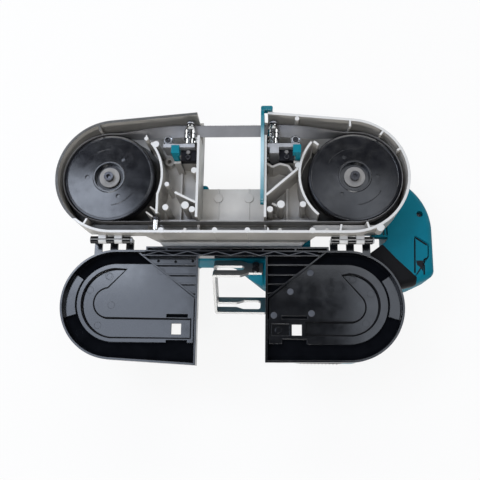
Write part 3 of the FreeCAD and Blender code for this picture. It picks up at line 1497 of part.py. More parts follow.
def all_pieces():
    """Every named piece in its working place."""
    pieces = {
        "frame_casting": frame_casting(),
        "gear_case": gear_case(),
        "motor_stator": motor_stator(),
        "motor_end_cap": motor_end_cap(),
        "housing_front": housing_half(parting_z, 50, [bumper_region()]),
        "housing_rear": housing_half(-200, parting_z, []),
        "housing_bumper": housing_bumper(),
        "grip_pad": grip_pad(),
        "switch_body": switch_block(),
        "terminal_block": terminal_block(),
        "front_grip": front_grip(),
        "stop_plate": stop_plate(),
        "tool_hook": tool_hook(),
        "blade": blade(),
        "keeper_pin": keeper_pin(),
        "cover_shell": cover_shell(),
        "drive_wheel": wheel_body(drive_x, shaft_radius),
        "drive_tyre": tyre(drive_x),
        "drive_shaft": drive_shaft(),
        "output_gear": output_gear(),
        "drive_washer": wheel_washer(drive_x),
        "drive_screw": wheel_screw(drive_x),
        "idler_carriage": idler_carriage(),
        "idler_washer": wheel_washer(idler_x),
        "idler_screw": wheel_screw(idler_x),
        "idler_wheel": wheel_body(idler_x, 14.0),
        "idler_tyre": tyre(idler_x),
        "idler_bearing": idler_bearing(),
        "intermediate_shaft": intermediate_shaft(),
        "intermediate_gear": intermediate_gear(),
        "rotor_shaft": rotor_shaft(),
        "rotor_core": rotor_core(),
        "cooling_fan": cooling_fan(),
        "keeper_roller": keeper_roller(),
        "tension_lever": tension_lever(),
        "trigger": trigger(),
        "lock_button": lock_button(),
    }
    pieces.update(bearing_pair())
    for name, side in (("left", -1), ("right", 1)):
        pieces["hinge_pin_" + name] = hinge_pin(side)
        pieces["guide_block_" + name] = guide_block(side)
        pieces["guide_bracket_" + name] = guide_bracket(side)
        pieces["guide_roller_front_" + name] = guide_roller(side, 1)
        pieces["guide_roller_rear_" + name] = guide_roller(side, -1)
        pieces["backup_roller_" + name] = backup_roller(side)
        pieces["cover_lock_" + name] = cover_lock(right_lock_x if side > 0 else left_lock_x)
    for name, y in zip(("upper", "lower"), stop_screw_places()):
        pieces["stop_screw_" + name] = stop_screw(y)
    for name, y in zip(("lower", "upper"), hook_screw_places()):
        pieces["hook_screw_" + name] = hook_screw(y)
    return pieces


def stand_point(pieces):
    """Middle of the whole saw's footprint on the surface it lies on."""
    box = Part.makeCompound(list(pieces.values())).optimalBoundingBox(False, False)
    return vec(-(box.XMin + box.XMax) / 2, -(box.YMin + box.YMax) / 2, -box.ZMin)


pieces = all_pieces()
shift = stand_point(pieces)
os.makedirs("parts", exist_ok=True)
for name, shape in pieces.items():
    if len(shape.Solids) != 1 or not shape.isValid():
        print("check", name, len(shape.Solids), "solids, valid", shape.isValid())
    placed = shape.copy()
    placed.translate(shift)
    placed.exportStep("parts/" + name + ".step")
print("pieces", len(pieces), "shift", [round(v, 3) for v in shift])
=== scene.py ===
"""Dresses the portable band saw: finishes, small moulded and machined detail, stage, lamps and camera."""

from __future__ import annotations

import logging
import math
from dataclasses import dataclass, field
from enum import Enum
from typing import Sequence

import bpy
from mathutils import Matrix, Vector
from mathutils.bvhtree import BVHTree


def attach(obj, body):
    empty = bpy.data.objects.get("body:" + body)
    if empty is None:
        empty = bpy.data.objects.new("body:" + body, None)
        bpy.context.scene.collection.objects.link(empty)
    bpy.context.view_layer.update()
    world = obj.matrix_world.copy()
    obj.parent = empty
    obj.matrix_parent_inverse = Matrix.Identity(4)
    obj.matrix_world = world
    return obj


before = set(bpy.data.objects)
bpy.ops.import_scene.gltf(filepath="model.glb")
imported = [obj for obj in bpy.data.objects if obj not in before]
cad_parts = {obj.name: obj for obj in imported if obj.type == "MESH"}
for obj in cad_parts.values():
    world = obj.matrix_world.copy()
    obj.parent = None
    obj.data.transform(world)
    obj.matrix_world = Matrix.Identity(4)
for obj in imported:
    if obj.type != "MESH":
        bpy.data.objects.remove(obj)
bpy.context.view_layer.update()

LOG = logging.getLogger("band_saw")
Color = tuple[float, float, float]
Pair = tuple[float, float]
Point = tuple[float, float, float]
Box = tuple[float, float, float, float]
Socket = bpy.types.NodeSocket

MM = 0.001
UP = Vector((0.0, 0.0, 1.0))
DOWN = Vector((0.0, 0.0, -1.0))
TO_BLADE = Vector((0.0, 1.0, 0.0))
SHARP_EDGE = math.radians(40.0)

# The solids were drawn in millimetres about the middle of the frame's rim. DRAWN_ORIGIN is where the shared
# frame's origin lies in that drawing. The others are the wheel axes and the middle level of the band in it.
DRAWN_ORIGIN = Vector((15.6, 7.75, -150.0))
WHEEL_X = 131.0
WHEEL_Y = 67.5
BAND_Z = -13.0


def at(x: float, y: float, z: float) -> Vector:
    """Place in the shared frame, in metres, of a point drawn in millimetres about the frame's rim."""
    return (Vector((x, y, z)) - DRAWN_ORIGIN) * MM


def put(name: str, data: bpy.types.ID) -> bpy.types.Object:
    """New object in the scene.

    Args:
        name: Name of the object.
        data: Its mesh, lamp or camera.

    Returns:
        The object.
    """
    made = bpy.data.objects.new(name, data)
    bpy.context.scene.collection.objects.link(made)
    return made


class Side(Enum):
    """The two wheel ends of the saw."""

    LEFT = -1
    RIGHT = 1

    @property
    def tag(self) -> str:
        """Word for the side in the names of pieces."""
        return self.name.lower()


class Body(Enum):
    """Bodies of the frame that carry added detail."""

    SAW = "saw"
    COVER = "cover"
    DRIVE = "drive"
    IDLER = "idler"
    LEVER = "lever"
    ROLLER_FRONT_LEFT = "roller_front_left"
    ROLLER_FRONT_RIGHT = "roller_front_right"
    ROLLER_REAR_LEFT = "roller_rear_left"
    ROLLER_REAR_RIGHT = "roller_rear_right"


class Slot(Enum):
    """Material slots that added detail stands for."""

    WHEEL = "wheel_black"
    BLADE = "blade_steel"
    COVER = "cover_black"
    PLAIN_STEEL = "plain_steel"
    DARK_STEEL = "dark_steel"
    RUBBER = "rubber_black"
    TEAL = "teal"
    BLOCK = "block_black"
    FRAME = "frame_metal"


class NodeTree:
    """Adds nodes to one tree and feeds their inputs."""

    def __init__(self, tree: bpy.types.NodeTree) -> None:
        """Starts from an empty tree.

        Args:
            tree: The tree to draw in.
        """
        tree.nodes.clear()
        self.tree = tree

    def add(self, kind: str, inputs: dict | None = None, **properties: object) -> bpy.types.Node:
        """Makes one node.

        Args:
            kind: Blender's name of the node type.
            inputs: A socket to link or a value to set for each input, by its name or number.
            properties: Properties of the node, set before its inputs.

        Returns:
            The new node.
        """
        node = self.tree.nodes.new(kind)
        for key, value in properties.items():
            setattr(node, key, value)
        self.feed(node, inputs or {})
        return node

    def feed(self, node: bpy.types.Node, inputs: dict) -> None:
        """Links or sets inputs of a node.

        Args:
            node: The node.
            inputs: A socket to link or a value to set for each input, by its name or number.
        """
        for key, value in inputs.items():
            if isinstance(value, Socket):
                self.tree.links.new(value, node.inputs[key])
            else:
                node.inputs[key].default_value = value

    def work(self, operation: str, first: Socket | float, second: Socket | float = 0.0) -> Socket:
        """One sum.

        Args:
            operation: Blender's name of the sum.
            first: Number or socket.
            second: Number or socket.

        Returns:
            The result.
        """
        return self.add("ShaderNodeMath", {0: first, 1: second}, operation=operation).outputs[0]

    def above(self, value: Socket, limit: float) -> Socket:
        """1 where a value is above a limit, and 0 elsewhere."""
        return self.work("GREATER_THAN", value, limit)

    def below(self, value: Socket, limit: float) -> Socket:
        """1 where a value is below a limit, and 0 elsewhere."""
        return self.work("LESS_THAN", value, limit)

    def every(self, first: Socket, *others: Socket | float) -> Socket:
        """Product of values, which is 1 where all of them are 1.

        Args:
            first: A value.
            others: The other values.

        Returns:
            The product.
        """
        for other in others:
            first = self.work("MULTIPLY", first, other)
        return first

    def either(self, first: Socket, *others: Socket | float) -> Socket:
        """Largest of values, which is 1 where any of them is 1.

        Args:
            first: A value.
            others: The other values.

        Returns:
            The largest.
        """
        for other in others:
            first = self.work("MAXIMUM", first, other)
        return first


class FinishTree(NodeTree):
    """Shader nodes of one finish, drawn over the piece's own coordinates."""

    def __init__(self, material: bpy.types.Material) -> None:
        """Starts with an output, one main shader and the three coordinates.

        Args:
            material: The material whose tree is drawn.
        """
        material.use_nodes = True
        super().__init__(material.node_tree)
        self.shader = self.add("ShaderNodeBsdfPrincipled")
        self.add("ShaderNodeOutputMaterial", {"Surface": self.shader.outputs["BSDF"]})
        self.place = self.add("ShaderNodeTexCoord").outputs["Object"]
        self.x, self.y, self.z = self.add("ShaderNodeSeparateXYZ", {0: self.place}).outputs

    def drawn_x(self) -> Socket:
        """Distance along the saw from the middle of the frame, in metres."""
        return self.work("ADD", self.x, DRAWN_ORIGIN.x * MM)

    def facing_up(self) -> Socket:
        """1 on faces that look up, and 0 on others."""
        normal = self.add("ShaderNodeNewGeometry").outputs["True Normal"]
        return self.above(self.add("ShaderNodeSeparateXYZ", {0: normal}).outputs["Z"], 0.5)

    def within(self, run: Socket, rise: Socket, radius: float) -> Socket:
        """Inside of an upright cylinder.

        Args:
            run: Distance from its axis along x.
            rise: Distance from its axis along y.
            radius: Its radius in metres.

        Returns:
            1 inside it and 0 outside.
        """
        square = self.work("ADD", self.every(run, run), self.every(rise, rise))
        return self.below(square, radius * radius)

    def noise(self, scale: float, detail: float, stretch: Point = (1.0, 1.0, 1.0)) -> Socket:
        """Noise over the piece's own coordinates.

        Args:
            scale: Cells per metre.
            detail: Number of octaves.
            stretch: Factors on the three axes.

        Returns:
            The noise value.
        """
        mapping = self.add("ShaderNodeMapping", {"Vector": self.place, "Scale": stretch})
        inputs = {"Vector": mapping.outputs["Vector"], "Scale": scale, "Detail": detail}
        return self.add("ShaderNodeTexNoise", inputs).outputs["Fac"]

    def spread(self, value: Socket, low: float, high: float, start: float = 0.3, end: float = 0.7) -> Socket:
        """Maps a value from one range to another.

        Args:
            value: Socket to map.
            low: Result at start.
            high: Result at end.
            start: Lower value in.
            end: Upper value in.

        Returns:
            The mapped value.
        """
        inputs = {"Value": value, "From Min": start, "From Max": end, "To Min": low, "To Max": high}
        return self.add("ShaderNodeMapRange", inputs).outputs["Result"]

    def blend(self, amount: Socket, first: Socket | Color, second: Color) -> Socket:
        """Mixes two colours.

        Args:
            amount: Share of the second colour.
            first: Colour or socket.
            second: Colour.

        Returns:
            The mixed colour.
        """
        start = first if isinstance(first, Socket) else (*first, 1.0)
        inputs = {"Factor": amount, 6: start, 7: (*second, 1.0)}
        return self.add("ShaderNodeMix", inputs, data_type="RGBA").outputs[2]

    def edges(self, radius: float, limits: Pair) -> tuple[Socket, Socket]:
        """Softened edges of the piece.

        Args:
            radius: Edge radius in metres.
            limits: Agreement of soft and plain normal at a full edge and on a flat face.

        Returns:
            The softened normal, and a value that is 1 on edges and 0 on flat faces.
        """
        soft = self.add("ShaderNodeBevel", {"Radius": radius}, samples=6).outputs["Normal"]
        plain = self.add("ShaderNodeNewGeometry").outputs["Normal"]
        dot = self.add("ShaderNodeVectorMath", {0: soft, 1: plain}, operation="DOT_PRODUCT")
        return soft, self.spread(dot.outputs["Value"], 1.0, 0.0, *limits)


@dataclass(frozen=True)
class Finish:
    """A surface finish: colour with mottling and worn edges, uneven gloss and fine grain."""

    name: str
    color: Color
    roughness: float = 0.4
    metallic: float = 0.0
    specular: float = 0.5
    mottling: float = 0.12
    mottle_scale: float = 45.0
    gloss_spread: float = 0.08
    gloss_scale: float = 90.0
    least_roughness: float = 0.03
    grain_depth: float = 0.00003
    grain_scale: float = 1400.0
    stretch: Point = (1.0, 1.0, 1.0)
    wear: float = 0.25
    wear_color: Color = (0.3, 0.3, 0.3)
    wear_scale: float = 220.0
    wear_limits: Pair = (0.4, 0.62)
    edge_radius: float = 0.0005
    edge_limits: Pair = (0.86, 0.995)

    def material(self) -> bpy.types.Material:
        """The finish's material, drawn once."""
        made = bpy.data.materials.get(self.name)
        if made is None:
            made = bpy.data.materials.new(self.name)
            self.draw(FinishTree(made))
        return made

    def base(self, kit: FinishTree) -> Socket:
        """Mottled base colour.

        Args:
            kit: The material's nodes.

        Returns:
            The colour.
        """
        dark = tuple(c * (1.0 - self.mottling) for c in self.color)
        light = tuple(min(1.0, c * (1.0 + self.mottling)) for c in self.color)
        return kit.blend(kit.spread(kit.noise(self.mottle_scale, 4.0), 0.0, 1.0), dark, light)

    def draw(self, kit: FinishTree) -> None:
        """Draws the whole node tree.

        Args:
            kit: The material's nodes.
        """
        soft, edge = kit.edges(self.edge_radius, self.edge_limits)
        rubbed = kit.spread(kit.noise(self.wear_scale, 5.0), 0.0, self.wear, *self.wear_limits)
        grain = kit.noise(self.grain_scale, 2.0, self.stretch)
        relief = kit.add("ShaderNodeBump", {
            "Strength": 1.0, "Distance": self.grain_depth, "Height": grain, "Normal": soft,
        })
        low = max(self.least_roughness, self.roughness - self.gloss_spread)
        high = self.roughness + self.gloss_spread
        kit.feed(kit.shader, {
            "Base Color": kit.blend(kit.every(edge, rubbed), self.base(kit), self.wear_color),
            "Roughness": kit.spread(kit.noise(self.gloss_scale, 4.0, self.stretch), low, high),
            "Normal": relief.outputs["Normal"],
            "Metallic": self.metallic,
            "Specular IOR Level": self.specular,
        })


@dataclass(frozen=True)
class MachinedCasting(Finish):
    """Grainy casting with a milled rim, painted light on the hinge side, painted shade in the wheel wells and
    a lower-left channel, and painted shade on the rim at the idler end.
    """

    rim_level: float = 0.1496
    # Light tone of the milled rim; the same tone is painted light on the hinge side, which lies in the
    # frame's shadow.
    rim_and_hinge_light_color: Color = (0.64, 0.635, 0.62)
    hinge_edge: float = -0.0036
    well_x: float = WHEEL_X * MM
    well_y: float = (WHEEL_Y - DRAWN_ORIGIN.y) * MM
    well_radius: float = 0.056
    well_level: float = 0.1215
    # Painted shade: near-black floor of the wheel wells and the lower-left channel, where wheels and walls
    # shade it.
    hollow_shade_color: Color = (0.05, 0.048, 0.044)
    channel_x: float = -0.0756
    channel_y: float = 0.0095
    channel_level: float = 0.1372
    shade_x: float = -0.15
    shade_y: float = 0.012
    strip_x: float = -0.03
    strip_y: float = 0.1075
    shade_color: Color = (0.07, 0.069, 0.066)

    def base(self, kit: FinishTree) -> Socket:
        """Cast colour with painted shade in wells and channel, the milled rim, painted light on the hinge
        side and painted shade on the idler end's rim.

        Args:
            kit: The material's nodes.

        Returns:
            The colour.
        """
        cast = super().base(kit)
        run = kit.work("SUBTRACT", kit.work("ABSOLUTE", kit.drawn_x()), self.well_x)
        rise = kit.work("SUBTRACT", kit.y, self.well_y)
        # Painted shade in the wheel wells and, on up-facing faces, in the lower-left channel.
        well = kit.every(kit.within(run, rise, self.well_radius), kit.below(kit.z, self.well_level))
        channel = kit.every(kit.below(kit.x, self.channel_x), kit.below(kit.y, self.channel_y),
                            kit.below(kit.z, self.channel_level), kit.facing_up())
        rim = kit.above(kit.z, self.rim_level)
        # Painted light: the hinge side is lightened to the rim's tone, standing in for light that its
        # shadowed strip lacks.
        hinge_light = kit.below(kit.y, self.hinge_edge)
        # Painted shade: the rim at the idler end and along the top-left takes the dark shade colour instead
        # of the milled tone.
        end = kit.every(kit.below(kit.x, self.shade_x), kit.above(kit.y, self.shade_y))
        strip = kit.every(kit.below(kit.x, self.strip_x), kit.above(kit.y, self.strip_y))
        dark = kit.blend(kit.either(well, channel), cast, self.hollow_shade_color)
        bright = kit.blend(kit.either(rim, hinge_light), dark, self.rim_and_hinge_light_color)
        return kit.blend(kit.every(rim, kit.either(end, strip)), bright, self.shade_color)


@dataclass(frozen=True)
class MouldedCover(Finish):
    """Glossy moulding, matt on its truss and, below the raised U, in trough, pockets and right corner."""

    middle_x: float = 0.124
    middle_y: float = -0.07125
    reach: float = 0.0424
    matt_level: float = 0.1099
    skin_level: float = 0.1078
    corner_x: float = 0.1017
    corner_y: float = -0.01595
    corner_slope: float = 0.818
    pocket_x: float = 0.083
    pocket_near: float = -0.08735
    pocket_far: float = -0.10895
    truss_near: float = -0.01635
    truss_far: float = -0.02045
    truss_half: float = 0.093

    def matt(self, kit: FinishTree) -> Socket:
        """Where the gloss is missing.

        Args:
            kit: The material's nodes.

        Returns:
            1 on matt faces and 0 elsewhere.
        """
        along = kit.drawn_x()
        across = kit.work("ABSOLUTE", along)
        over = kit.either(kit.work("SUBTRACT", across, self.middle_x), 0.0)
        side = kit.work("SUBTRACT", kit.y, self.middle_y)
        trough = kit.work("SUBTRACT", 1.0, kit.within(over, side, self.reach))
        ends = kit.either(kit.above(kit.y, self.pocket_near), kit.below(kit.y, self.pocket_far))
        pocket = kit.every(ends, kit.below(across, self.pocket_x))
        fall = kit.work("MULTIPLY", kit.work("SUBTRACT", across, self.corner_x), self.corner_slope)
        beyond = kit.above(kit.work("SUBTRACT", kit.y, fall), self.corner_y)
        corner = kit.every(beyond, kit.below(across, self.corner_x))
        hollow = kit.work("SUBTRACT", kit.either(trough, pocket), corner)
        right_corner = kit.every(corner, kit.above(along, 0.0))
        floor = kit.every(kit.either(hollow, right_corner), kit.below(kit.z, self.matt_level))
        truss = kit.every(kit.below(kit.y, self.truss_near), kit.above(kit.y, self.truss_far),
                          kit.below(across, self.truss_half))
        return kit.every(kit.either(floor, truss), kit.above(kit.z, self.skin_level))

    def draw(self, kit: FinishTree) -> None:
        """Draws the gloss, then takes it away where the cover is matt.

        Args:
            kit: The material's nodes.
        """
        super().draw(kit)
        gloss = kit.spread(self.matt(kit), self.specular, 0.0, 0.0, 1.0)
        kit.feed(kit.shader, {"Specular IOR Level": gloss})


@dataclass(frozen=True)
class EdgedPaint(Finish):
    """Paint with a pale painted highlight on the front edge of a plate, strongest beside the throat."""

    edge_level: float = 0.1524
    edge_end: float = 0.126
    # Painted highlight: pale blue on the front face's edge, standing in for light caught there.
    highlight_color: Color = (0.4, 0.6, 0.67)
    rise_shares: Pair = (0.15, 1.0)
    rise_limits: Pair = (0.035, 0.075)
    fall_shares: Pair = (1.0, 0.1)
    fall_limits: Pair = (0.095, 0.115)

    def base(self, kit: FinishTree) -> Socket:
        """Paint colour with the painted highlight on the front edge.

        Args:
            kit: The material's nodes.

        Returns:
            The colour.
        """
        rise = kit.spread(kit.y, *self.rise_shares, *self.rise_limits)
        fall = kit.spread(kit.y, *self.fall_shares, *self.fall_limits)
        # Painted highlight over the front edge, faded in and out along y.
        pale = kit.every(kit.above(kit.z, self.edge_level), kit.below(kit.y, self.edge_end),
                         kit.work("MINIMUM", rise, fall))
        return kit.blend(pale, super().base(kit), self.highlight_color)


class Palette:
    """Every finish on the saw."""

    CAST = MachinedCasting("cast_alloy", (0.46, 0.44, 0.41), roughness=0.45, metallic=0.1, mottling=0.14,
                           mottle_scale=30.0, gloss_spread=0.1, grain_depth=0.00008, grain_scale=900.0,
                           wear=0.4, wear_color=(0.75, 0.74, 0.71))
    CASE = Finish("gear_case_alloy", (0.42, 0.41, 0.38), roughness=0.45, metallic=0.5, mottling=0.15,
                  grain_depth=0.0001, grain_scale=800.0)
    WHEEL = Finish("wheel_paint", (0.005, 0.0055, 0.008), roughness=0.19, specular=0.55, mottling=0.3,
                   mottle_scale=60.0, gloss_spread=0.05, grain_depth=0.00001, grain_scale=500.0,
                   wear=0.2, wear_color=(0.1, 0.11, 0.13))
    COVER = MouldedCover("cover_moulding", (0.004, 0.0045, 0.006), roughness=0.14, specular=0.55,
                         mottling=0.25, mottle_scale=80.0, gloss_spread=0.04, grain_depth=0.00001,
                         grain_scale=500.0, wear=0.35, wear_color=(0.1, 0.11, 0.14), edge_radius=0.0006)
    COVER_MARK = Finish("cover_mark", (0.05, 0.055, 0.068), roughness=0.35, mottling=0.2, mottle_scale=90.0,
                        wear_color=(0.1, 0.11, 0.13))
    WELT = Finish("cover_welt", (0.002, 0.002, 0.003), roughness=0.45, specular=0.1, mottling=0.2,
                  mottle_scale=90.0, wear=0.1, wear_color=(0.02, 0.02, 0.03))
    RUBBER = Finish("black_rubber", (0.005, 0.005, 0.006), roughness=0.55, specular=0.12, mottling=0.2,
                    mottle_scale=90.0, grain_depth=0.00006, grain_scale=1500.0, wear_color=(0.03, 0.03, 0.03))
    BLOCK = Finish("guide_block", (0.012, 0.0125, 0.017), roughness=0.5, specular=0.12, mottling=0.2,
                   mottle_scale=90.0, grain_scale=900.0, wear=0.15, wear_color=(0.06, 0.065, 0.08))
    TEAL = Finish("teal_moulding", (0.0, 0.15, 0.215), roughness=0.55, specular=0.12, mottling=0.08,
                  mottle_scale=30.0, gloss_spread=0.06, grain_depth=0.00005, grain_scale=1700.0,
                  wear=0.15, wear_color=(0.0, 0.28, 0.38))
    LOCK = Finish("teal_lock", (0.0, 0.175, 0.235), roughness=0.45, specular=0.12, mottling=0.08,
                  mottle_scale=40.0, wear=0.15, wear_color=(0.02, 0.36, 0.45))
    STOP = EdgedPaint("teal_paint", (0.0, 0.15, 0.2), roughness=0.25, mottle_scale=60.0, wear=0.5,
                      wear_color=(0.35, 0.55, 0.62), edge_radius=0.0007)
    STEEL = Finish("plated_steel", (0.34, 0.345, 0.36), roughness=0.38, metallic=0.45, mottling=0.15,
                   mottle_scale=120.0, wear_color=(0.6, 0.6, 0.6))
    WASHER = Finish("zinc_washer", (0.25, 0.24, 0.23), roughness=0.5, metallic=0.1, mottle_scale=150.0,
                    wear_color=(0.45, 0.45, 0.45))
    DARK_STEEL = Finish("black_oxide", (0.015, 0.015, 0.017), roughness=0.3, metallic=0.3, mottling=0.25,
                        mottle_scale=120.0, wear_color=(0.2, 0.2, 0.2))
    SCREW = Finish("screw_steel", (0.045, 0.045, 0.05), roughness=0.28, metallic=0.8, mottling=0.25,
                   mottle_scale=200.0, wear=0.2, wear_color=(0.4, 0.4, 0.4), edge_radius=0.00025)
    GEAR = Finish("gear_steel", (0.4, 0.4, 0.41), roughness=0.28, metallic=1.0, mottle_scale=100.0)
    CHROME = Finish("roller_chrome", (0.62, 0.63, 0.65), roughness=0.36, metallic=0.5, mottling=0.06,
                    mottle_scale=80.0, gloss_spread=0.05, grain_depth=0.00001)
    BLADE = Finish("band_steel", (0.19, 0.187, 0.19), roughness=0.5, metallic=0.35, mottle_scale=40.0,
                   grain_depth=0.00002, grain_scale=900.0, stretch=(0.08, 1.0, 1.0))
    # Pale steel set far lighter than the steel itself: partly its own tone, partly painted light for a hook
    # lying in the cover's shade.
    HOOK = Finish("hook_steel", (0.8, 0.77, 0.72), metallic=0.1, mottling=0.1, mottle_scale=60.0,
                  gloss_spread=0.06, grain_scale=700.0, wear_color=(0.9, 0.9, 0.9))
    WINDING = Finish("winding_copper", (0.3, 0.11, 0.04), metallic=0.6, mottling=0.3, mottle_scale=300.0,
                     gloss_spread=0.1, grain_depth=0.0001, grain_scale=900.0)


NODE_FINISHES: dict[Finish, tuple[str, ...]] = {
    Palette.CAST: ("frame_casting",),
    Palette.CASE: ("gear_case",),
    Palette.WHEEL: ("drive_wheel", "idler_wheel"),
    Palette.COVER: ("cover_shell",),
    Palette.RUBBER: ("grip_pad", "front_grip", "drive_tyre", "idler_tyre", "housing_bumper"),
    Palette.BLOCK: ("motor_end_cap", "switch_body", "terminal_block", "guide_block_left", "guide_block_right",
                    "cooling_fan", "trigger", "lock_button"),
    Palette.TEAL: ("housing_front", "housing_rear"),
    Palette.LOCK: ("cover_lock_left", "cover_lock_right"),
    Palette.STOP: ("stop_plate",),
    Palette.STEEL: ("keeper_pin", "idler_carriage", "shaft_bearing_front", "shaft_bearing_rear",
                    "motor_bearing_front", "motor_bearing_rear", "stop_screw_upper", "stop_screw_lower",
                    "hinge_pin_left", "hinge_pin_right", "guide_bracket_left", "guide_bracket_right"),
    Palette.WASHER: ("drive_washer", "idler_washer"),
    Palette.DARK_STEEL: ("rotor_core", "tension_lever", "idler_bearing"),
    Palette.SCREW: ("drive_screw", "idler_screw", "hook_screw_upper", "hook_screw_lower"),
    Palette.GEAR: ("drive_shaft", "output_gear", "intermediate_shaft", "intermediate_gear", "rotor_shaft"),
    Palette.CHROME: ("guide_roller_front_left", "guide_roller_front_right", "guide_roller_rear_left",
                     "guide_roller_rear_right", "backup_roller_left", "backup_roller_right", "keeper_roller"),
    Palette.BLADE: ("blade",),
    Palette.HOOK: ("tool_hook",),
    Palette.WINDING: ("motor_stator",),
}


def dress_nodes() -> None:
    """Gives every carried-over solid its finish."""
    for finish, names in NODE_FINISHES.items():
        for name in names:
            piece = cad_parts[name]
            if not piece.material_slots:
                piece.data.materials.append(finish.material())
            for slot in piece.material_slots:
                slot.material = finish.material()
            LOG.info("solid %s wears %s", name, finish.name)


@dataclass(frozen=True)
class Piece:
    """One added piece: its finish, the material slot for that finish, and the body it moves with."""

    name: str
    finish: Finish
    slot: Slot
    body: Body = Body.SAW
    smooth: bool = True

    def mount(self, mesh: bpy.types.Mesh) -> None:
        """Puts a finished mesh on the body.

        Args:
            mesh: The mesh, drawn in its place.
        """
        mesh.name = self.name
        if self.smooth:
            mesh.shade_smooth()
            mesh.set_sharp_from_angle(angle=SHARP_EDGE)
        piece = put(self.name, mesh)
        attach(piece, self.body.value)
        LOG.info("piece %s on %s, %d faces", self.name, self.body.value, len(mesh.polygons))

    def paint(self, mesh: bpy.types.Mesh) -> None:
        """Gives a plain mesh the finish and puts it on the body."""
        mesh.materials.append(self.finish.material())
        self.mount(mesh)


class GeometryTree(NodeTree):
    """A Geometry Nodes tree with named inputs that ends in plain geometry with a finish."""

    def __init__(self, name: str, inputs: dict[str, str]) -> None:
        """Starts the tree with its inputs.

        Args:
            name: Name of the tree.
            inputs: Blender's socket type of each named input, besides geometry and finish.
        """
        super().__init__(bpy.data.node_groups.new(name, "GeometryNodeTree"))
        sockets = self.tree.interface
        sockets.new_socket("Geometry", in_out="OUTPUT", socket_type="NodeSocketGeometry")
        self.keys: dict[str, str] = {}
        named = {"Geometry": "NodeSocketGeometry", "Finish": "NodeSocketMaterial", **inputs}
        for key, kind in named.items():
            self.keys[key] = sockets.new_socket(key, in_out="INPUT", socket_type=kind).identifier
        self.source = self.add("NodeGroupInput").outputs

    def close(self, geometry: Socket) -> None:
        """Ends the tree in real geometry with the chosen material.

        Args:
            geometry: The geometry to hand out.
        """
        real = self.add("GeometryNodeRealizeInstances", {"Geometry": geometry}).outputs["Geometry"]
        paint = self.add("GeometryNodeSetMaterial", {"Geometry": real, "Material": self.source["Finish"]})
        self.add("NodeGroupOutput", {0: paint.outputs["Geometry"]})

    def grow(self, piece: Piece, carrier_mesh: bpy.types.Mesh, values: dict[str, object]) -> None:
        """Runs the tree on a mesh and mounts the result as a plain piece.

        Args:
            piece: The new piece.
            carrier_mesh: Points or edges that the tree works on.
            values: Values of the named inputs, besides the finish.
        """
        carrier = put(piece.name + "_carrier", carrier_mesh)
        modifier = carrier.modifiers.new("grow", "NODES")
        modifier.node_group = self.tree
        for key, value in {"Finish": piece.finish.material(), **values}.items():
            modifier[self.keys[key]] = value
        graph = bpy.context.evaluated_depsgraph_get()
        mesh = bpy.data.meshes.new_from_object(carrier.evaluated_get(graph))
        bpy.data.objects.remove(carrier)
        piece.mount(mesh)


@dataclass
class Spot:
    """One place for a repeated shape: where it sits, where it faces and which way it runs."""

    place: Vector
    facing: Vector = field(default_factory=UP.copy)
    along: Vector = field(default_factory=lambda: Vector((1.0, 0.0, 0.0)))


class PointRepeat(GeometryTree):
    """Sets a small shape on every spot, turned to the spot's directions."""

    def __init__(self) -> None:
        """Builds the tree."""
        super().__init__("point_repeat", {
            "Shape": "NodeSocketObject", "Unevenness": "NodeSocketFloat", "Seed": "NodeSocketInt",
        })
        shape = self.add("GeometryNodeObjectInfo", {"Object": self.source["Shape"]})
        faced = self.aligned("facing", {}, axis="Z", pivot_axis="AUTO")
        turned = self.aligned("along", {"Rotation": faced}, axis="X", pivot_axis="Z")
        chance = self.add("FunctionNodeRandomValue", {2: -1.0, 3: 1.0, "Seed": self.source["Seed"]},
                          data_type="FLOAT")
        size = self.add("ShaderNodeMath", {0: chance.outputs[1], 1: self.source["Unevenness"], 2: 1.0},
                        operation="MULTIPLY_ADD")
        copies = self.add("GeometryNodeInstanceOnPoints", {
            "Points": self.source["Geometry"], "Instance": shape.outputs["Geometry"],
            "Rotation": turned, "Scale": size.outputs[0],
        })
        self.close(copies.outputs["Instances"])

    def aligned(self, name: str, inputs: dict, **axes: str) -> Socket:
        """Rotation that follows a direction stored on the spots.

        Args:
            name: Name of the direction.
            inputs: Rotation to start from, if any.
            axes: Axis that follows the direction and axis to turn about.

        Returns:
            The rotation.
        """
        stored = self.add("GeometryNodeInputNamedAttribute", {"Name": name}, data_type="FLOAT_VECTOR")
        inputs = {"Vector": stored.outputs["Attribute"], **inputs}
        return self.add("FunctionNodeAlignRotationToVector", inputs, **axes).outputs["Rotation"]

    def spread(self, piece: Piece, spots: Sequence[Spot], shape: bpy.types.Mesh, unevenness: float = 0.0,
               seed: int = 7) -> None:
        """Repeats a shape over spots.

        Args:
            piece: The new piece.
            spots: Where the shape goes.
            shape: The small mesh to repeat.
            unevenness: Share by which sizes differ.
            seed: Seed of the differences.
        """
        mesh = make_mesh(piece.name + "_spots", [spot.place for spot in spots])
        for key in ("facing", "along"):
            layer = mesh.attributes.new(key, "FLOAT_VECTOR", "POINT")
            for item, spot in zip(layer.data, spots):
                item.vector = getattr(spot, key)
        template = bpy.data.objects.new(piece.name + "_shape", shape)
        self.grow(piece, mesh, {"Shape": template, "Unevenness": unevenness, "Seed": seed})
        bpy.data.objects.remove(template)


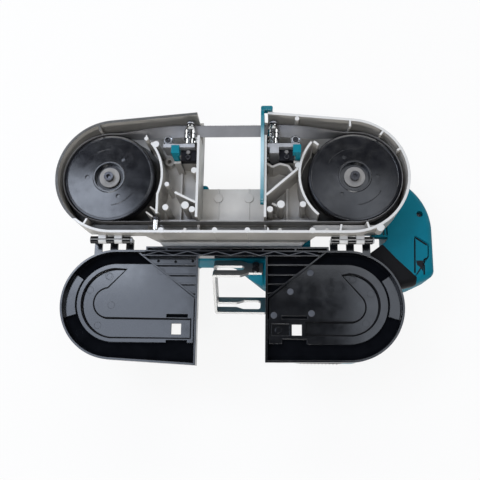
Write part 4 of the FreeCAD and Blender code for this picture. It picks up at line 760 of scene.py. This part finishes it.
class BeadSweep(GeometryTree):
    """Runs a round bead along edges, for raised lines, seams and ribs."""

    def __init__(self) -> None:
        """Builds the tree."""
        super().__init__("bead_sweep", {"Radius": "NodeSocketFloat", "Sides": "NodeSocketInt"})
        line = self.add("GeometryNodeMeshToCurve", {"Mesh": self.source["Geometry"]})
        ring = self.add("GeometryNodeCurvePrimitiveCircle", {
            "Resolution": self.source["Sides"], "Radius": self.source["Radius"],
        })
        sweep = self.add("GeometryNodeCurveToMesh", {
            "Curve": line.outputs["Curve"], "Profile Curve": ring.outputs["Curve"], "Fill Caps": True,
        })
        self.close(sweep.outputs["Mesh"])

    def run(self, piece: Piece, lines: Sequence[Sequence[Vector]], radius: float, sides: int = 8) -> None:
        """Sweeps a bead along each line.

        Args:
            piece: The new piece.
            lines: Points of each line; a line that ends where it starts is closed.
            radius: Bead radius in millimetres.
            sides: Number of sides of the bead.
        """
        points: list[Vector] = []
        edges: list[tuple[int, int]] = []
        for line in lines:
            first = len(points)
            shut = (line[0] - line[-1]).length < 1e-9
            own = list(line[:-1] if shut else line)
            points.extend(own)
            edges.extend((first + i, first + i + 1) for i in range(len(own) - 1))
            if shut:
                edges.append((first + len(own) - 1, first))
        mesh = make_mesh(piece.name + "_lines", points, edges=edges)
        self.grow(piece, mesh, {"Radius": radius * MM, "Sides": sides})


def make_mesh(name: str, corners: Sequence[Point], faces: Sequence[tuple[int, ...]] = (),
              edges: Sequence[tuple[int, int]] = ()) -> bpy.types.Mesh:
    """Mesh of given points.

    Args:
        name: Mesh name.
        corners: Its points in metres.
        faces: Numbers of the points of each face.
        edges: Numbers of the points of each loose edge.

    Returns:
        The mesh.
    """
    mesh = bpy.data.meshes.new(name)
    mesh.from_pydata(corners, edges, faces)
    return mesh


class Shapes:
    """Small closed meshes, in metres, that are repeated or set singly."""

    @staticmethod
    def stacked(name: str, rings: Sequence[Sequence[Point]]) -> bpy.types.Mesh:
        """Closed shape over rings of as many points each.

        Args:
            name: Mesh name.
            rings: Rings from the foot to the top, each anticlockwise as seen from the top.

        Returns:
            The mesh.
        """
        count = len(rings[0])
        last = count * (len(rings) - 1)
        faces = [tuple(range(count - 1, -1, -1)), tuple(range(last, last + count))]
        for low in range(0, last, count):
            for i in range(count):
                j = (i + 1) % count
                faces.append((low + i, low + j, low + count + j, low + count + i))
        return make_mesh(name, [corner for ring in rings for corner in ring], faces)

    @classmethod
    def lathe(cls, name: str, profile: Sequence[Pair], segments: int = 28) -> bpy.types.Mesh:
        """Turned shape about z that stands on the origin.

        Args:
            name: Mesh name.
            profile: Points (radius, height) in millimetres from the foot to the top.
            segments: Steps round the axis.

        Returns:
            The mesh.
        """
        turns = [2 * math.pi * i / segments for i in range(segments)]
        return cls.stacked(name, [
            [(radius * math.cos(turn) * MM, radius * math.sin(turn) * MM, height * MM) for turn in turns]
            for radius, height in profile
        ])

    @classmethod
    def socket_screw(cls, name: str, radius: float, height: float) -> bpy.types.Mesh:
        """Round screw head with a deep round socket.

        Args:
            name: Mesh name.
            radius: Head radius in millimetres.
            height: Head height in millimetres.

        Returns:
            The mesh.
        """
        hole = 0.52 * radius
        return cls.lathe(name, [
            (radius, 0.0), (radius, height - 0.4), (radius - 0.4, height), (hole + 0.3, height),
            (hole, height - 0.25), (hole * 0.95, height * 0.35), (0.05, height * 0.3),
        ], segments=24)

    @classmethod
    def disc(cls, name: str, radius: float, height: float) -> bpy.types.Mesh:
        """Flat disc with a rounded rim and a faint dish.

        Args:
            name: Mesh name.
            radius: Radius in millimetres.
            height: Height in millimetres.

        Returns:
            The mesh.
        """
        return cls.lathe(name, [
            (radius, 0.0), (radius - 0.08, height * 0.7), (radius - 0.3, height),
            (radius * 0.6, height * 0.92), (0.05, height * 0.88),
        ])

    @classmethod
    def tooth(cls, name: str, pitch: float, height: float, thickness: float) -> bpy.types.Mesh:
        """Raked saw tooth that runs along x and points along z.

        Args:
            name: Mesh name.
            pitch: Length of the foot in millimetres.
            height: Height in millimetres.
            thickness: Thickness in millimetres.

        Returns:
            The mesh.
        """
        half, wide = pitch / 2, thickness / 2
        outline = [(-half, -0.2), (half, -0.2), (half, 0.0), (half * 0.72, height),
                   (half * 0.5, height * 0.94), (-half, 0.0)]
        return cls.stacked(name, [[(x * MM, y * MM, z * MM) for x, z in outline] for y in (wide, -wide)])

    @classmethod
    def wall(cls, name: str, ends: Box, sections: Sequence[Pair], steps: int = 6) -> bpy.types.Mesh:
        """Thin upright wall with rounded ends.

        Args:
            name: Mesh name.
            ends: Drawn x and y of both ends in millimetres.
            sections: Drawn level and half thickness, in millimetres, from the foot to the top.
            steps: Number of pieces round each end.

        Returns:
            The mesh.
        """
        start, end = Vector(ends[:2]), Vector(ends[2:])
        heading = math.atan2(end.y - start.y, end.x - start.x)
        rings = []
        for level, half in sections:
            ring = []
            for centre, outward in ((start, heading + math.pi), (end, heading)):
                for i in range(steps + 1):
                    turn = outward + math.pi * (i / steps - 0.5)
                    ring.append(at(centre.x + half * math.cos(turn), centre.y + half * math.sin(turn), level))
            rings.append(ring)
        return cls.stacked(name, rings)


class Workshop:
    """The two Geometry Nodes trees that every sub-assembly shares."""

    def __init__(self) -> None:
        """Makes the trees."""
        self.repeat = PointRepeat()
        self.bead = BeadSweep()


class Skin:
    """Front of one solid, for detail that lies on it."""

    def __init__(self, node: str) -> None:
        """Reads the solid's faces.

        Args:
            node: Name of the solid.
        """
        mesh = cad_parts[node].data
        corners = [vertex.co.copy() for vertex in mesh.vertices]
        self.node = node
        self.tree = BVHTree.FromPolygons(corners, [tuple(face.vertices) for face in mesh.polygons])

    def under(self, x: float, y: float, lift: float = 0.0) -> Vector:
        """Place on the front under a drawn point.

        Args:
            x: Drawn x in millimetres.
            y: Drawn y in millimetres.
            lift: Height above the face in millimetres.

        Returns:
            The place in metres.

        Raises:
            ValueError: If the solid has no face there.
        """
        above_all = 80.0
        place = self.tree.ray_cast(at(x, y, above_all), DOWN)[0]
        if place is None:
            raise ValueError(f"{self.node} has no face under {x}, {y}")
        return place + UP * lift * MM

    def patch(self, name: str, box: Box, lift: float, count: int) -> bpy.types.Mesh:
        """Low closed pillow on the front, sunk a little into it.

        Args:
            name: Mesh name.
            box: Drawn x and y limits in millimetres: left, right, low, high.
            lift: Height in its middle, in millimetres.
            count: Squares along each side.

        Returns:
            The mesh.
        """
        sunk, rim = -0.6, 0.1
        left, right, low, high = box
        near_ends = [self.under(x, low) for x in (left, right)]
        far_ends = [self.under(x, high) for x in (left, right)]
        wide = count + 1
        corners = []
        for middle, border in ((sunk, sunk), (lift, rim)):
            for j in range(wide):
                for i in range(wide):
                    rise = border if {i, j} & {0, count} else middle
                    near = near_ends[0].lerp(near_ends[1], i / count)
                    far = far_ends[0].lerp(far_ends[1], i / count)
                    corners.append(near.lerp(far, j / count) + UP * rise * MM)
        over = wide * wide
        faces = []
        for j in range(count):
            for i in range(count):
                first = j * wide + i
                square = (first, first + 1, first + wide + 1, first + wide)
                faces += [square[::-1], tuple(over + corner for corner in square)]
        steps = range(count)
        border = [*steps, *(i * wide + count for i in steps), *(over - 1 - i for i in steps),
                  *((count - i) * wide for i in steps)]
        for one, two in zip(border, border[1:] + border[:1]):
            faces.append((one, two, over + two, over + one))
        return make_mesh(name, corners, faces)


def ring_y(middle: Vector, radius: float, steps: int = 36) -> list[Vector]:
    """Closed ring about an axis along y.

    Args:
        middle: Centre in metres.
        radius: Radius in millimetres.
        steps: Number of pieces.

    Returns:
        The points, ending where they start.
    """
    turns = [2 * math.pi * (i % steps) / steps for i in range(steps + 1)]
    return [middle + Vector((math.cos(turn), 0.0, math.sin(turn))) * radius * MM for turn in turns]


def arc(middle: Vector, radius: float, start: float, end: float, steps: int) -> list[Vector]:
    """Points of a level arc.

    Args:
        middle: Centre in metres.
        radius: Radius in millimetres.
        start: First angle in degrees.
        end: Last angle in degrees.
        steps: Number of pieces.

    Returns:
        The points, in metres.
    """
    turns = [math.radians(start + (end - start) * i / steps) for i in range(steps + 1)]
    return [middle + Vector((math.cos(turn), math.sin(turn), 0.0)) * radius * MM for turn in turns]


def arc_through(start: Vector, middle: Vector, end: Vector, steps: int) -> list[Vector]:
    """Points of a level arc through three points.

    Args:
        start: First point.
        middle: A point on the arc.
        end: Last point.
        steps: Number of pieces.

    Returns:
        The points.
    """
    first, second = middle - start, end - start
    twice = 2 * (first.x * second.y - first.y * second.x)
    one, two = first.length_squared, second.length_squared
    centre = start + Vector((second.y * one - first.y * two, first.x * two - second.x * one, 0.0)) / twice
    turns = [math.atan2(point.y - centre.y, point.x - centre.x) for point in (start, middle, end)]
    for i in (1, 2):
        while turns[i] < turns[i - 1]:
            turns[i] += 2 * math.pi
    if turns[2] - turns[0] > 2 * math.pi:
        turns[2] -= 4 * math.pi
    return arc(centre, (start - centre).length / MM, math.degrees(turns[0]), math.degrees(turns[2]), steps)


def uprights(middle: Pair, radius: float, levels: Pair, count: int) -> list[list[Vector]]:
    """Upright lines round a circle.

    Args:
        middle: Drawn x and y of its centre in millimetres.
        radius: Radius in millimetres.
        levels: Drawn levels of their ends.
        count: Number of lines.

    Returns:
        The lines.
    """
    lines = []
    for i in range(count):
        turn = 2 * math.pi * i / count
        x = middle[0] + radius * math.cos(turn)
        y = middle[1] + radius * math.sin(turn)
        lines.append([at(x, y, level) for level in levels])
    return lines


@dataclass
class WheelDress:
    """Raised rotation arcs of one wheel."""

    side: Side
    body: Body
    arc_radius: float = 31.5
    arcs: Sequence[Pair] = ((93.0, 142.0), (-83.0, -31.0))
    arc_steps: int = 28
    face_z: float = -6.55
    bead: float = 0.45

    def build(self, shop: Workshop) -> None:
        """Adds the arcs.

        Args:
            shop: Shared tools.
        """
        middle = at(self.side.value * WHEEL_X, WHEEL_Y, self.face_z)
        lines = [arc(middle, self.arc_radius, start, end, self.arc_steps) for start, end in self.arcs]
        piece = Piece("wheel_arcs_" + self.side.tag, Palette.WHEEL, Slot.WHEEL, self.body)
        shop.bead.run(piece, lines, self.bead)


@dataclass
class BladeDress:
    """Saw teeth round the whole band."""

    pitch: float = 1.8
    height: float = 0.9
    thickness: float = 0.7
    unevenness: float = 0.06
    seed: int = 11
    middle_radius: float = 49.55
    band_y: float = 121.8
    half_width: float = 6.5
    twist_start: float = 11.0
    twist_length: float = 70.0
    twist_steps: int = 24
    wheel_steps: int = 64
    keeper_gap: Pair = (-82.0, -73.0)

    def path(self) -> list[tuple[Vector, Vector]]:
        """Points of the toothed edge, in millimetres, with the way the teeth point.

        Returns:
            Pairs of place and outward direction, once round the loop.
        """
        edge: list[tuple[Vector, Vector]] = []
        high_y = WHEEL_Y + self.middle_radius
        top_z = BAND_Z + self.half_width
        for side in (1, -1):
            run = []
            for i in range(self.wheel_steps + 1):
                turn = math.radians(-90 + 180 * i / self.wheel_steps)
                x = side * (WHEEL_X + self.middle_radius * math.cos(turn))
                run.append((Vector((x, WHEEL_Y + self.middle_radius * math.sin(turn), top_z)), UP))
            for i in range(self.twist_steps + 1):
                share = i / self.twist_steps
                x = side * (WHEEL_X - self.twist_start - self.twist_length * share)
                lift = (self.band_y - high_y) * share * share * (3 - 2 * share)
                out = Vector((0.0, math.sin(math.pi / 2 * share), math.cos(math.pi / 2 * share)))
                run.append((Vector((x, high_y + lift, BAND_Z)) + out * self.half_width, out))
            edge.extend(run if side > 0 else reversed(run))
        edge.append((Vector((WHEEL_X, WHEEL_Y - self.middle_radius, top_z)), UP))
        return edge

    def build(self, shop: Workshop) -> None:
        """Sets the teeth along the edge.

        Args:
            shop: Shared tools.
        """
        spots: list[Spot] = []
        left_over = 0.0
        edge = self.path()
        for (start, out), (end, next_out) in zip(edge, edge[1:]):
            run = end - start
            place = left_over
            while place < run.length:
                share = place / run.length
                point = start + run * share
                if point.y > WHEEL_Y or not self.keeper_gap[0] < point.x < self.keeper_gap[1]:
                    facing = (out * (1 - share) + next_out * share).normalized()
                    spots.append(Spot(at(*point), facing, run.normalized()))
                place += self.pitch
            left_over = place - run.length
        tooth = Shapes.tooth("tooth", self.pitch, self.height, self.thickness)
        teeth = Piece("blade_teeth", Palette.BLADE, Slot.BLADE, smooth=False)
        shop.repeat.spread(teeth, spots, tooth, self.unevenness, self.seed)


@dataclass
class CoverDress:
    """Ejector marks, rings, welts and truss ridges of the moulded cover, drawn in its open place; the welts
    are raised beads whose matt black is painted shade along the trough edges.
    """

    floor_z: float = -41.1
    platform_z: float = -38.1
    mark_sink: float = 0.02
    mark_height: float = 0.35
    mark_radius: float = 3.4
    mark_unevenness: float = 0.05
    mark_seed: int = 3
    marks: Sequence[Pair] = ((85.2, 30.0), (63.8, 50.5), (86.0, 73.5), (46.3, 75.8))
    dot_radius: float = 1.6
    dots: Sequence[Pair] = ((-79.9, 17.3), (-60.9, 18.0), (-42.1, 17.2))
    ring_bead: float = 0.14
    ring_radius: float = 3.7
    ring_steps: int = 32
    high_rings: Sequence[Pair] = (
        (-133.1, 34.5), (-128.3, 66.4), (-76.1, 29.0), (129.4, 65.6), (130.2, 36.5),
    )
    low_rings: Sequence[Pair] = (
        (-153.1, 50.0), (-142.5, 88.0), (-161.7, 31.3), (-162.0, 96.0), (148.8, 52.0), (142.8, 83.3),
        (50.8, 91.2),
    )
    welt: float = 0.85
    outer_steps: int = 24
    inner_steps: int = 16
    left_trough: Sequence[Pair] = (
        (-113.5, 27.0), (-126.7, 26.5), (-161.2, 63.4), (-128.0, 101.0), (-41.7, 101.0), (-41.7, 80.6),
        (-134.0, 80.0), (-147.7, 63.3), (-133.2, 47.6),
    )
    right_trough: Sequence[Pair] = (
        (118.4, 32.4), (126.5, 31.0), (157.6, 64.8), (128.6, 96.4), (79.6, 96.4), (79.6, 82.4),
        (126.0, 82.4), (142.9, 65.9), (138.3, 55.0),
    )
    truss_bead: float = 0.65
    truss_half: float = 93.0
    truss_near: float = 8.5
    truss_far: float = 12.8
    truss_z: float = -30.75
    truss_bays: int = 12

    def build(self, shop: Workshop) -> None:
        """Adds all of it.

        Args:
            shop: Shared tools.
        """
        disc = Shapes.disc("mark", self.mark_radius, self.mark_height)
        spots = [Spot(at(x, -y, self.platform_z - self.mark_sink)) for x, y in self.marks]
        marks = self.piece("cover_marks", Palette.COVER_MARK)
        shop.repeat.spread(marks, spots, disc, self.mark_unevenness, self.mark_seed)
        dot = Shapes.disc("dot", self.dot_radius, self.mark_height)
        spots = [Spot(at(x, -y, self.floor_z - self.mark_sink)) for x, y in self.dots]
        shop.repeat.spread(self.piece("cover_dots", Palette.WELT), spots, dot)
        rings = [arc(at(x, -y, level), self.ring_radius, 0.0, 360.0, self.ring_steps)
                 for level, places in ((self.platform_z, self.high_rings), (self.floor_z, self.low_rings))
                 for x, y in places]
        shop.bead.run(self.piece("cover_rings", Palette.COVER), rings, self.ring_bead)
        # Painted shade: matt black beads round each trough's edge, standing in for the dark shaded edges of
        # the troughs.
        welts = [self.trough_line(self.left_trough), self.trough_line(self.right_trough)]
        shop.bead.run(self.piece("cover_welts", Palette.WELT), welts, self.welt)
        bay = 2 * self.truss_half / self.truss_bays
        ridge = [at(i * bay - self.truss_half, -(self.truss_near if i % 2 else self.truss_far), self.truss_z)
                 for i in range(self.truss_bays + 1)]
        shop.bead.run(self.piece("cover_truss", Palette.COVER_MARK), [ridge], self.truss_bead)

    def piece(self, name: str, finish: Finish) -> Piece:
        """A piece that moves with the cover."""
        return Piece(name, finish, Slot.COVER, Body.COVER)

    def trough_line(self, trough: Sequence[Pair]) -> list[Vector]:
        """Closed line round a trough.

        Args:
            trough: Its tip, three points of its outer arc, two of its end and three of its inner arc.

        Returns:
            The points, ending where they start.
        """
        tip, *rest = (at(x, -y, self.platform_z) for x, y in trough)
        outer = arc_through(*rest[:3], self.outer_steps)
        inner = arc_through(*rest[5:], self.inner_steps)
        return [tip, *outer, *rest[3:5], *inner, tip]


@dataclass
class GuideDress:
    """Screws, roller caps and roller rings of one blade guide."""

    side: Side
    pin_x: float
    pin_y: float = 96.0
    pin_rise: float = 4.7
    pin_size: Pair = (2.3, 0.8)
    screw_y: float = 90.4
    screw_rise: float = 3.8
    screw_size: Pair = (3.0, 1.8)
    backup_x: float = 69.0
    backup_y: float = 109.2
    backup_rise: float = 6.8
    roller_x: float = 45.0
    roller_rise: float = 7.05
    cap_y: float = 126.35
    cap: Sequence[Pair] = (
        (4.0, 0.0), (4.2, 0.3), (4.2, 1.0), (3.5, 1.5), (3.5, 2.1), (4.1, 2.5), (4.1, 3.0), (3.4, 3.4),
        (2.0, 3.4), (1.8, 2.0), (0.05, 1.9),
    )
    ring_bead: float = 0.45
    rings: Sequence[Pair] = ((115.0, 5.75), (119.2, 6.1), (124.4, 3.6))

    def build(self, shop: Workshop) -> None:
        """Adds the small metal parts, then the rings on the rollers.

        Args:
            shop: Shared tools.
        """
        tag, way = self.side.tag, self.side.value
        pin = [Spot(at(self.pin_x, self.pin_y, BAND_Z + self.pin_rise))]
        pin_piece = Piece("guide_pin_" + tag, Palette.WASHER, Slot.PLAIN_STEEL)
        shop.repeat.spread(pin_piece, pin, Shapes.disc("pin", *self.pin_size))
        heads = [Spot(at(self.pin_x, self.screw_y, BAND_Z + self.screw_rise)),
                 Spot(at(way * self.backup_x, self.backup_y, BAND_Z + self.backup_rise))]
        screws = Piece("guide_screws_" + tag, Palette.SCREW, Slot.DARK_STEEL)
        shop.repeat.spread(screws, heads, Shapes.socket_screw("guide_screw", *self.screw_size))
        levels = {"front": BAND_Z + self.roller_rise, "rear": BAND_Z - self.roller_rise}
        ends = [Spot(at(way * self.roller_x, self.cap_y, z), TO_BLADE) for z in levels.values()]
        caps = Piece("roller_caps_" + tag, Palette.SCREW, Slot.DARK_STEEL)
        shop.repeat.spread(caps, ends, Shapes.lathe("cap", self.cap))
        for place, z in levels.items():
            lines = [ring_y(at(way * self.roller_x, y, z), radius) for y, radius in self.rings]
            body = Body(f"roller_{place}_{tag}")
            rings = Piece(f"roller_rings_{place}_{tag}", Palette.WELT, Slot.RUBBER, body)
            shop.bead.run(rings, lines, self.ring_bead)


@dataclass
class HousingDress:
    """Screws, grip ribs, motor fins, groove and small insert of the teal housing."""

    screw_size: Pair = (3.2, 1.6)
    screw_well: Point = (205.4, 37.6, -53.6)
    rear_screw_z: float = -103.4
    rear_screws: Sequence[Pair] = (
        (-20.0, 28.0), (40.0, 28.0), (20.0, -2.0), (70.0, -32.0), (120.0, -26.0), (160.0, -30.0),
        (180.0, 56.0),
    )
    rib_bead: float = 0.8
    pad_x: float = 76.0
    pad_y: float = -123.0
    pad_z: Pair = (-91.0, -69.0)
    pad_pitch: float = 4.0
    pad_ribs: int = 11
    grip: Pair = (-55.0, 15.0)
    ring_steps: int = 48
    grip_rings: Sequence[Pair] = (
        (-116.0, 18.0), (-119.5, 17.1), (-123.0, 16.9), (-127.0, 17.2), (-131.0, 17.6),
    )
    fin_bead: float = 0.7
    fin_count: int = 48
    fin_radius: float = 46.0
    fin_z: Pair = (-134.0, -112.0)
    motor: Pair = (108.0, 92.0)
    groove_bead: float = 0.95
    groove_lift: float = -0.3
    groove_steps: int = 8
    groove: Sequence[Pair] = (
        (197.2, -28.0), (198.9, 11.3), (212.6, 1.9), (211.9, -10.8), (207.6, -13.6), (207.0, -29.5),
    )
    insert: Box = (199.0, 206.6, -29.0, -14.5)
    insert_lift: float = 0.5
    insert_squares: int = 8

    def build(self, shop: Workshop) -> None:
        """Adds all of it.

        Args:
            shop: Shared tools.
        """
        spots = [Spot(at(*self.screw_well))]
        spots += [Spot(at(x, y, self.rear_screw_z), DOWN) for x, y in self.rear_screws]
        screw = Shapes.socket_screw("case_screw", *self.screw_size)
        shop.repeat.spread(Piece("housing_screws", Palette.SCREW, Slot.DARK_STEEL), spots, screw)
        pad_lines = [self.pad_x + i * self.pad_pitch for i in range(self.pad_ribs)]
        ribs = [[at(x, self.pad_y, z) for z in self.pad_z] for x in pad_lines]
        ribs += [arc(at(*self.grip, z), radius, 0.0, 360.0, self.ring_steps) for z, radius in self.grip_rings]
        shop.bead.run(Piece("grip_ribs", Palette.RUBBER, Slot.RUBBER), ribs, self.rib_bead)
        fins = uprights(self.motor, self.fin_radius, self.fin_z, self.fin_count)
        shop.bead.run(Piece("motor_fins", Palette.TEAL, Slot.TEAL), fins, self.fin_bead)
        skin = Skin("housing_front")
        groove = Piece("housing_groove", Palette.WELT, Slot.RUBBER)
        shop.bead.run(groove, [self.groove_line(skin)], self.groove_bead)
        insert = Piece("housing_insert", Palette.BLOCK, Slot.BLOCK)
        insert.paint(skin.patch(insert.name, self.insert, self.insert_lift, self.insert_squares))

    def groove_line(self, skin: Skin) -> list[Vector]:
        """Line of the groove on the housing's front.

        Args:
            skin: The front.

        Returns:
            The points.
        """
        line = []
        for (x0, y0), (x1, y1) in zip(self.groove, self.groove[1:]):
            shares = [i / self.groove_steps for i in range(self.groove_steps)]
            line += [skin.under(x0 + (x1 - x0) * s, y0 + (y1 - y0) * s, self.groove_lift) for s in shares]
        return [*line, skin.under(*self.groove[-1], self.groove_lift)]


@dataclass
class FrameDress:
    """Bright bead along the hinge knuckles as a painted highlight, dark collar of the keeper and two thin
    ribs beside it.
    """

    hinge_x: float = 127.0
    hinge_half: float = 21.0
    hinge_steps: int = 6
    hinge_top: float = -11.4
    hinge_bead: float = 0.9
    keeper: Point = (-77.7, 18.9, -3.3)
    collar: Sequence[Pair] = (
        (2.2, 0.0), (3.6, 0.3), (3.8, 1.2), (3.6, 2.6), (2.8, 3.6), (1.4, 4.2), (0.05, 4.3),
    )
    ribs: Sequence[Box] = ((-83.5, 32.5, -75.5, 26.6), (-87.6, 26.9, -81.4, 22.4))
    rib_sections: Sequence[Pair] = ((-43.2, 1.4), (-1.9, 0.9), (-1.5, 0.6))

    def build(self, shop: Workshop) -> None:
        """Adds all of it.

        Args:
            shop: Shared tools.
        """
        # Painted highlight: a pale bead along the top of each hinge's knuckles, standing in for their
        # specular highlight.
        shares = [i / self.hinge_steps for i in range(-self.hinge_steps, self.hinge_steps + 1)]
        lines = []
        for side in Side:
            places = [side.value * self.hinge_x + self.hinge_half * share for share in shares]
            lines.append([at(x, 0.0, self.hinge_top) for x in places])
        shop.bead.run(Piece("hinge_pin_lines", Palette.HOOK, Slot.PLAIN_STEEL), lines, self.hinge_bead)
        collar = Piece("keeper_collar", Palette.SCREW, Slot.DARK_STEEL)
        spots = [Spot(at(*self.keeper), TO_BLADE)]
        shop.repeat.spread(collar, spots, Shapes.lathe("collar", self.collar))
        for number, ends in enumerate(self.ribs):
            rib = Piece(f"casting_rib_{number}", Palette.CAST, Slot.FRAME, smooth=False)
            rib.paint(Shapes.wall(rib.name, ends, self.rib_sections))


@dataclass
class LeverDress:
    """Ridges round the knob of the tension lever."""

    middle: Pair = (-161.1, 81.7)
    radius: float = 8.0
    levels: Pair = (-65.5, -57.0)
    count: int = 24
    bead: float = 0.4

    def build(self, shop: Workshop) -> None:
        """Adds the ridges.

        Args:
            shop: Shared tools.
        """
        lines = uprights(self.middle, self.radius, self.levels, self.count)
        ridges = Piece("lever_ridges", Palette.DARK_STEEL, Slot.DARK_STEEL, Body.LEVER)
        shop.bead.run(ridges, lines, self.bead)


@dataclass(frozen=True)
class Lamp:
    """A soft rectangular lamp; it shines straight down unless it is aimed at the saw."""

    name: str
    place: Point
    width: float
    height: float
    power: float
    color: Color = (1.0, 1.0, 1.0)
    aimed: bool = False
    aim: Point = (0.0, 0.0, 0.1)

    def hang(self) -> None:
        """Makes the lamp, which the camera doesn't see."""
        light = bpy.data.lights.new(self.name, "AREA")
        light.shape = "RECTANGLE"
        light.size = self.width
        light.size_y = self.height
        light.energy = self.power
        light.color = self.color
        lamp = put(self.name, light)
        lamp.location = self.place
        if self.aimed:
            way = Vector(self.aim) - Vector(self.place)
            lamp.rotation_euler = way.to_track_quat("-Z", "Y").to_euler()
        lamp.visible_camera = False


@dataclass
class Stage:
    """Plain pale floor, soft lamps and the camera of the photograph."""

    floor_size: float = 16.0
    wall_height: float = 4.5
    floor_color: Color = (0.86, 0.86, 0.86)
    floor_glow: float = 0.88
    world_strength: float = 0.07
    camera_place: Point = (0.03212, -0.16230, 0.78028)
    camera_aim: Point = (-0.05594, 0.23299, -0.97087)
    camera_up: Point = (-0.00270, 0.97235, 0.23350)
    lens: float = 47.4
    sensor_width: float = 36.0
    clip_start: float = 0.01
    lamps: Sequence[Lamp] = (
        Lamp("key_wheel", (-0.735, 0.425, 1.6), 0.63, 0.45, 6.4, (0.86, 0.95, 1.12)),
        Lamp("key_cover", (-0.585, 0.02, 1.6), 0.73, 0.54, 4.6, (0.84, 0.94, 1.14)),
        Lamp("fill_wheel", (0.31, 0.435, 1.6), 0.62, 0.37, 1.6, (0.92, 0.97, 1.06)),
        Lamp("fill_cover", (0.49, 0.075, 1.6), 0.4, 0.35, 1.0, (0.88, 0.96, 1.1)),
        Lamp("top", (-0.05, -0.66, 1.5), 0.4, 0.3, 6.0, aimed=True),
        Lamp("front", (-0.05, -1.5, 0.38), 1.0, 0.3, 9.0, (1.0, 0.99, 0.97), aimed=True),
        Lamp("back", (0.0, 1.45, 1.5), 1.8, 0.5, 12.0, (1.0, 0.99, 0.97), aimed=True),
        Lamp("side_left", (-1.6, 0.8, 0.85), 0.8, 0.5, 6.0, aimed=True),
        Lamp("side_right", (1.6, 0.8, 0.85), 0.8, 0.5, 6.0, aimed=True),
    )

    def build(self) -> None:
        """Makes floor, world, lamps and camera."""
        self.make_floor()
        self.make_world()
        for lamp in self.lamps:
            lamp.hang()
        self.make_camera()

    def make_floor(self) -> None:
        """Floor and surround that read white and keep a faint shadow."""
        half = self.floor_size / 2
        corners = [(x * half, y * half, z) for z in (0.0, self.wall_height)
                   for x, y in ((-1, -1), (1, -1), (1, 1), (-1, 1))]
        walls = [(i, i + 4, (i + 1) % 4 + 4, (i + 1) % 4) for i in range(4)]
        floor = put("floor", make_mesh("floor", corners, [(0, 1, 2, 3), *walls]))
        material = bpy.data.materials.new("pale_floor")
        material.use_nodes = True
        kit = NodeTree(material.node_tree)
        matt = kit.add("ShaderNodeBsdfDiffuse", {"Color": (*self.floor_color, 1.0)})
        glow = kit.add("ShaderNodeEmission")
        ray = kit.add("ShaderNodeLightPath").outputs
        seen = kit.either(ray["Is Camera Ray"], ray["Is Glossy Ray"], ray["Is Transmission Ray"])
        share = kit.every(seen, self.floor_glow)
        mix = kit.add("ShaderNodeMixShader", {0: share, 1: matt.outputs[0], 2: glow.outputs[0]})
        kit.add("ShaderNodeOutputMaterial", {"Surface": mix.outputs[0]})
        floor.data.materials.append(material)

    def make_world(self) -> None:
        """Soft even light all round."""
        world = bpy.data.worlds.new("studio")
        bpy.context.scene.world = world
        world.use_nodes = True
        back = world.node_tree.nodes["Background"]
        back.inputs["Color"].default_value = (1.0, 1.0, 1.0, 1.0)
        back.inputs["Strength"].default_value = self.world_strength

    def make_camera(self) -> None:
        """Camera at the photograph's viewing angle."""
        data = bpy.data.cameras.new("camera")
        data.sensor_fit = "HORIZONTAL"
        data.sensor_width = self.sensor_width
        data.lens = self.lens
        data.clip_start = self.clip_start
        camera = put("camera", data)
        back = -Vector(self.camera_aim).normalized()
        right = Vector(self.camera_up).cross(back).normalized()
        turn = Matrix((right, back.cross(right), back)).transposed().to_4x4()
        camera.matrix_world = Matrix.Translation(Vector(self.camera_place)) @ turn
        bpy.context.scene.camera = camera


def main() -> None:
    """Builds and dresses everything in order."""
    logging.basicConfig(level=logging.INFO, format="%(message)s")
    bpy.context.scene.view_settings.view_transform = "Standard"
    Stage().build()
    dress_nodes()
    shop = Workshop()
    WheelDress(Side.LEFT, Body.IDLER).build(shop)
    WheelDress(Side.RIGHT, Body.DRIVE, arc_radius=31.0, arcs=((97.0, 152.0), (-85.0, -30.0))).build(shop)
    BladeDress().build(shop)
    CoverDress().build(shop)
    GuideDress(Side.LEFT, -46.6).build(shop)
    GuideDress(Side.RIGHT, 59.5).build(shop)
    HousingDress().build(shop)
    FrameDress().build(shop)
    LeverDress().build(shop)


if __name__ == "__main__":
    main()
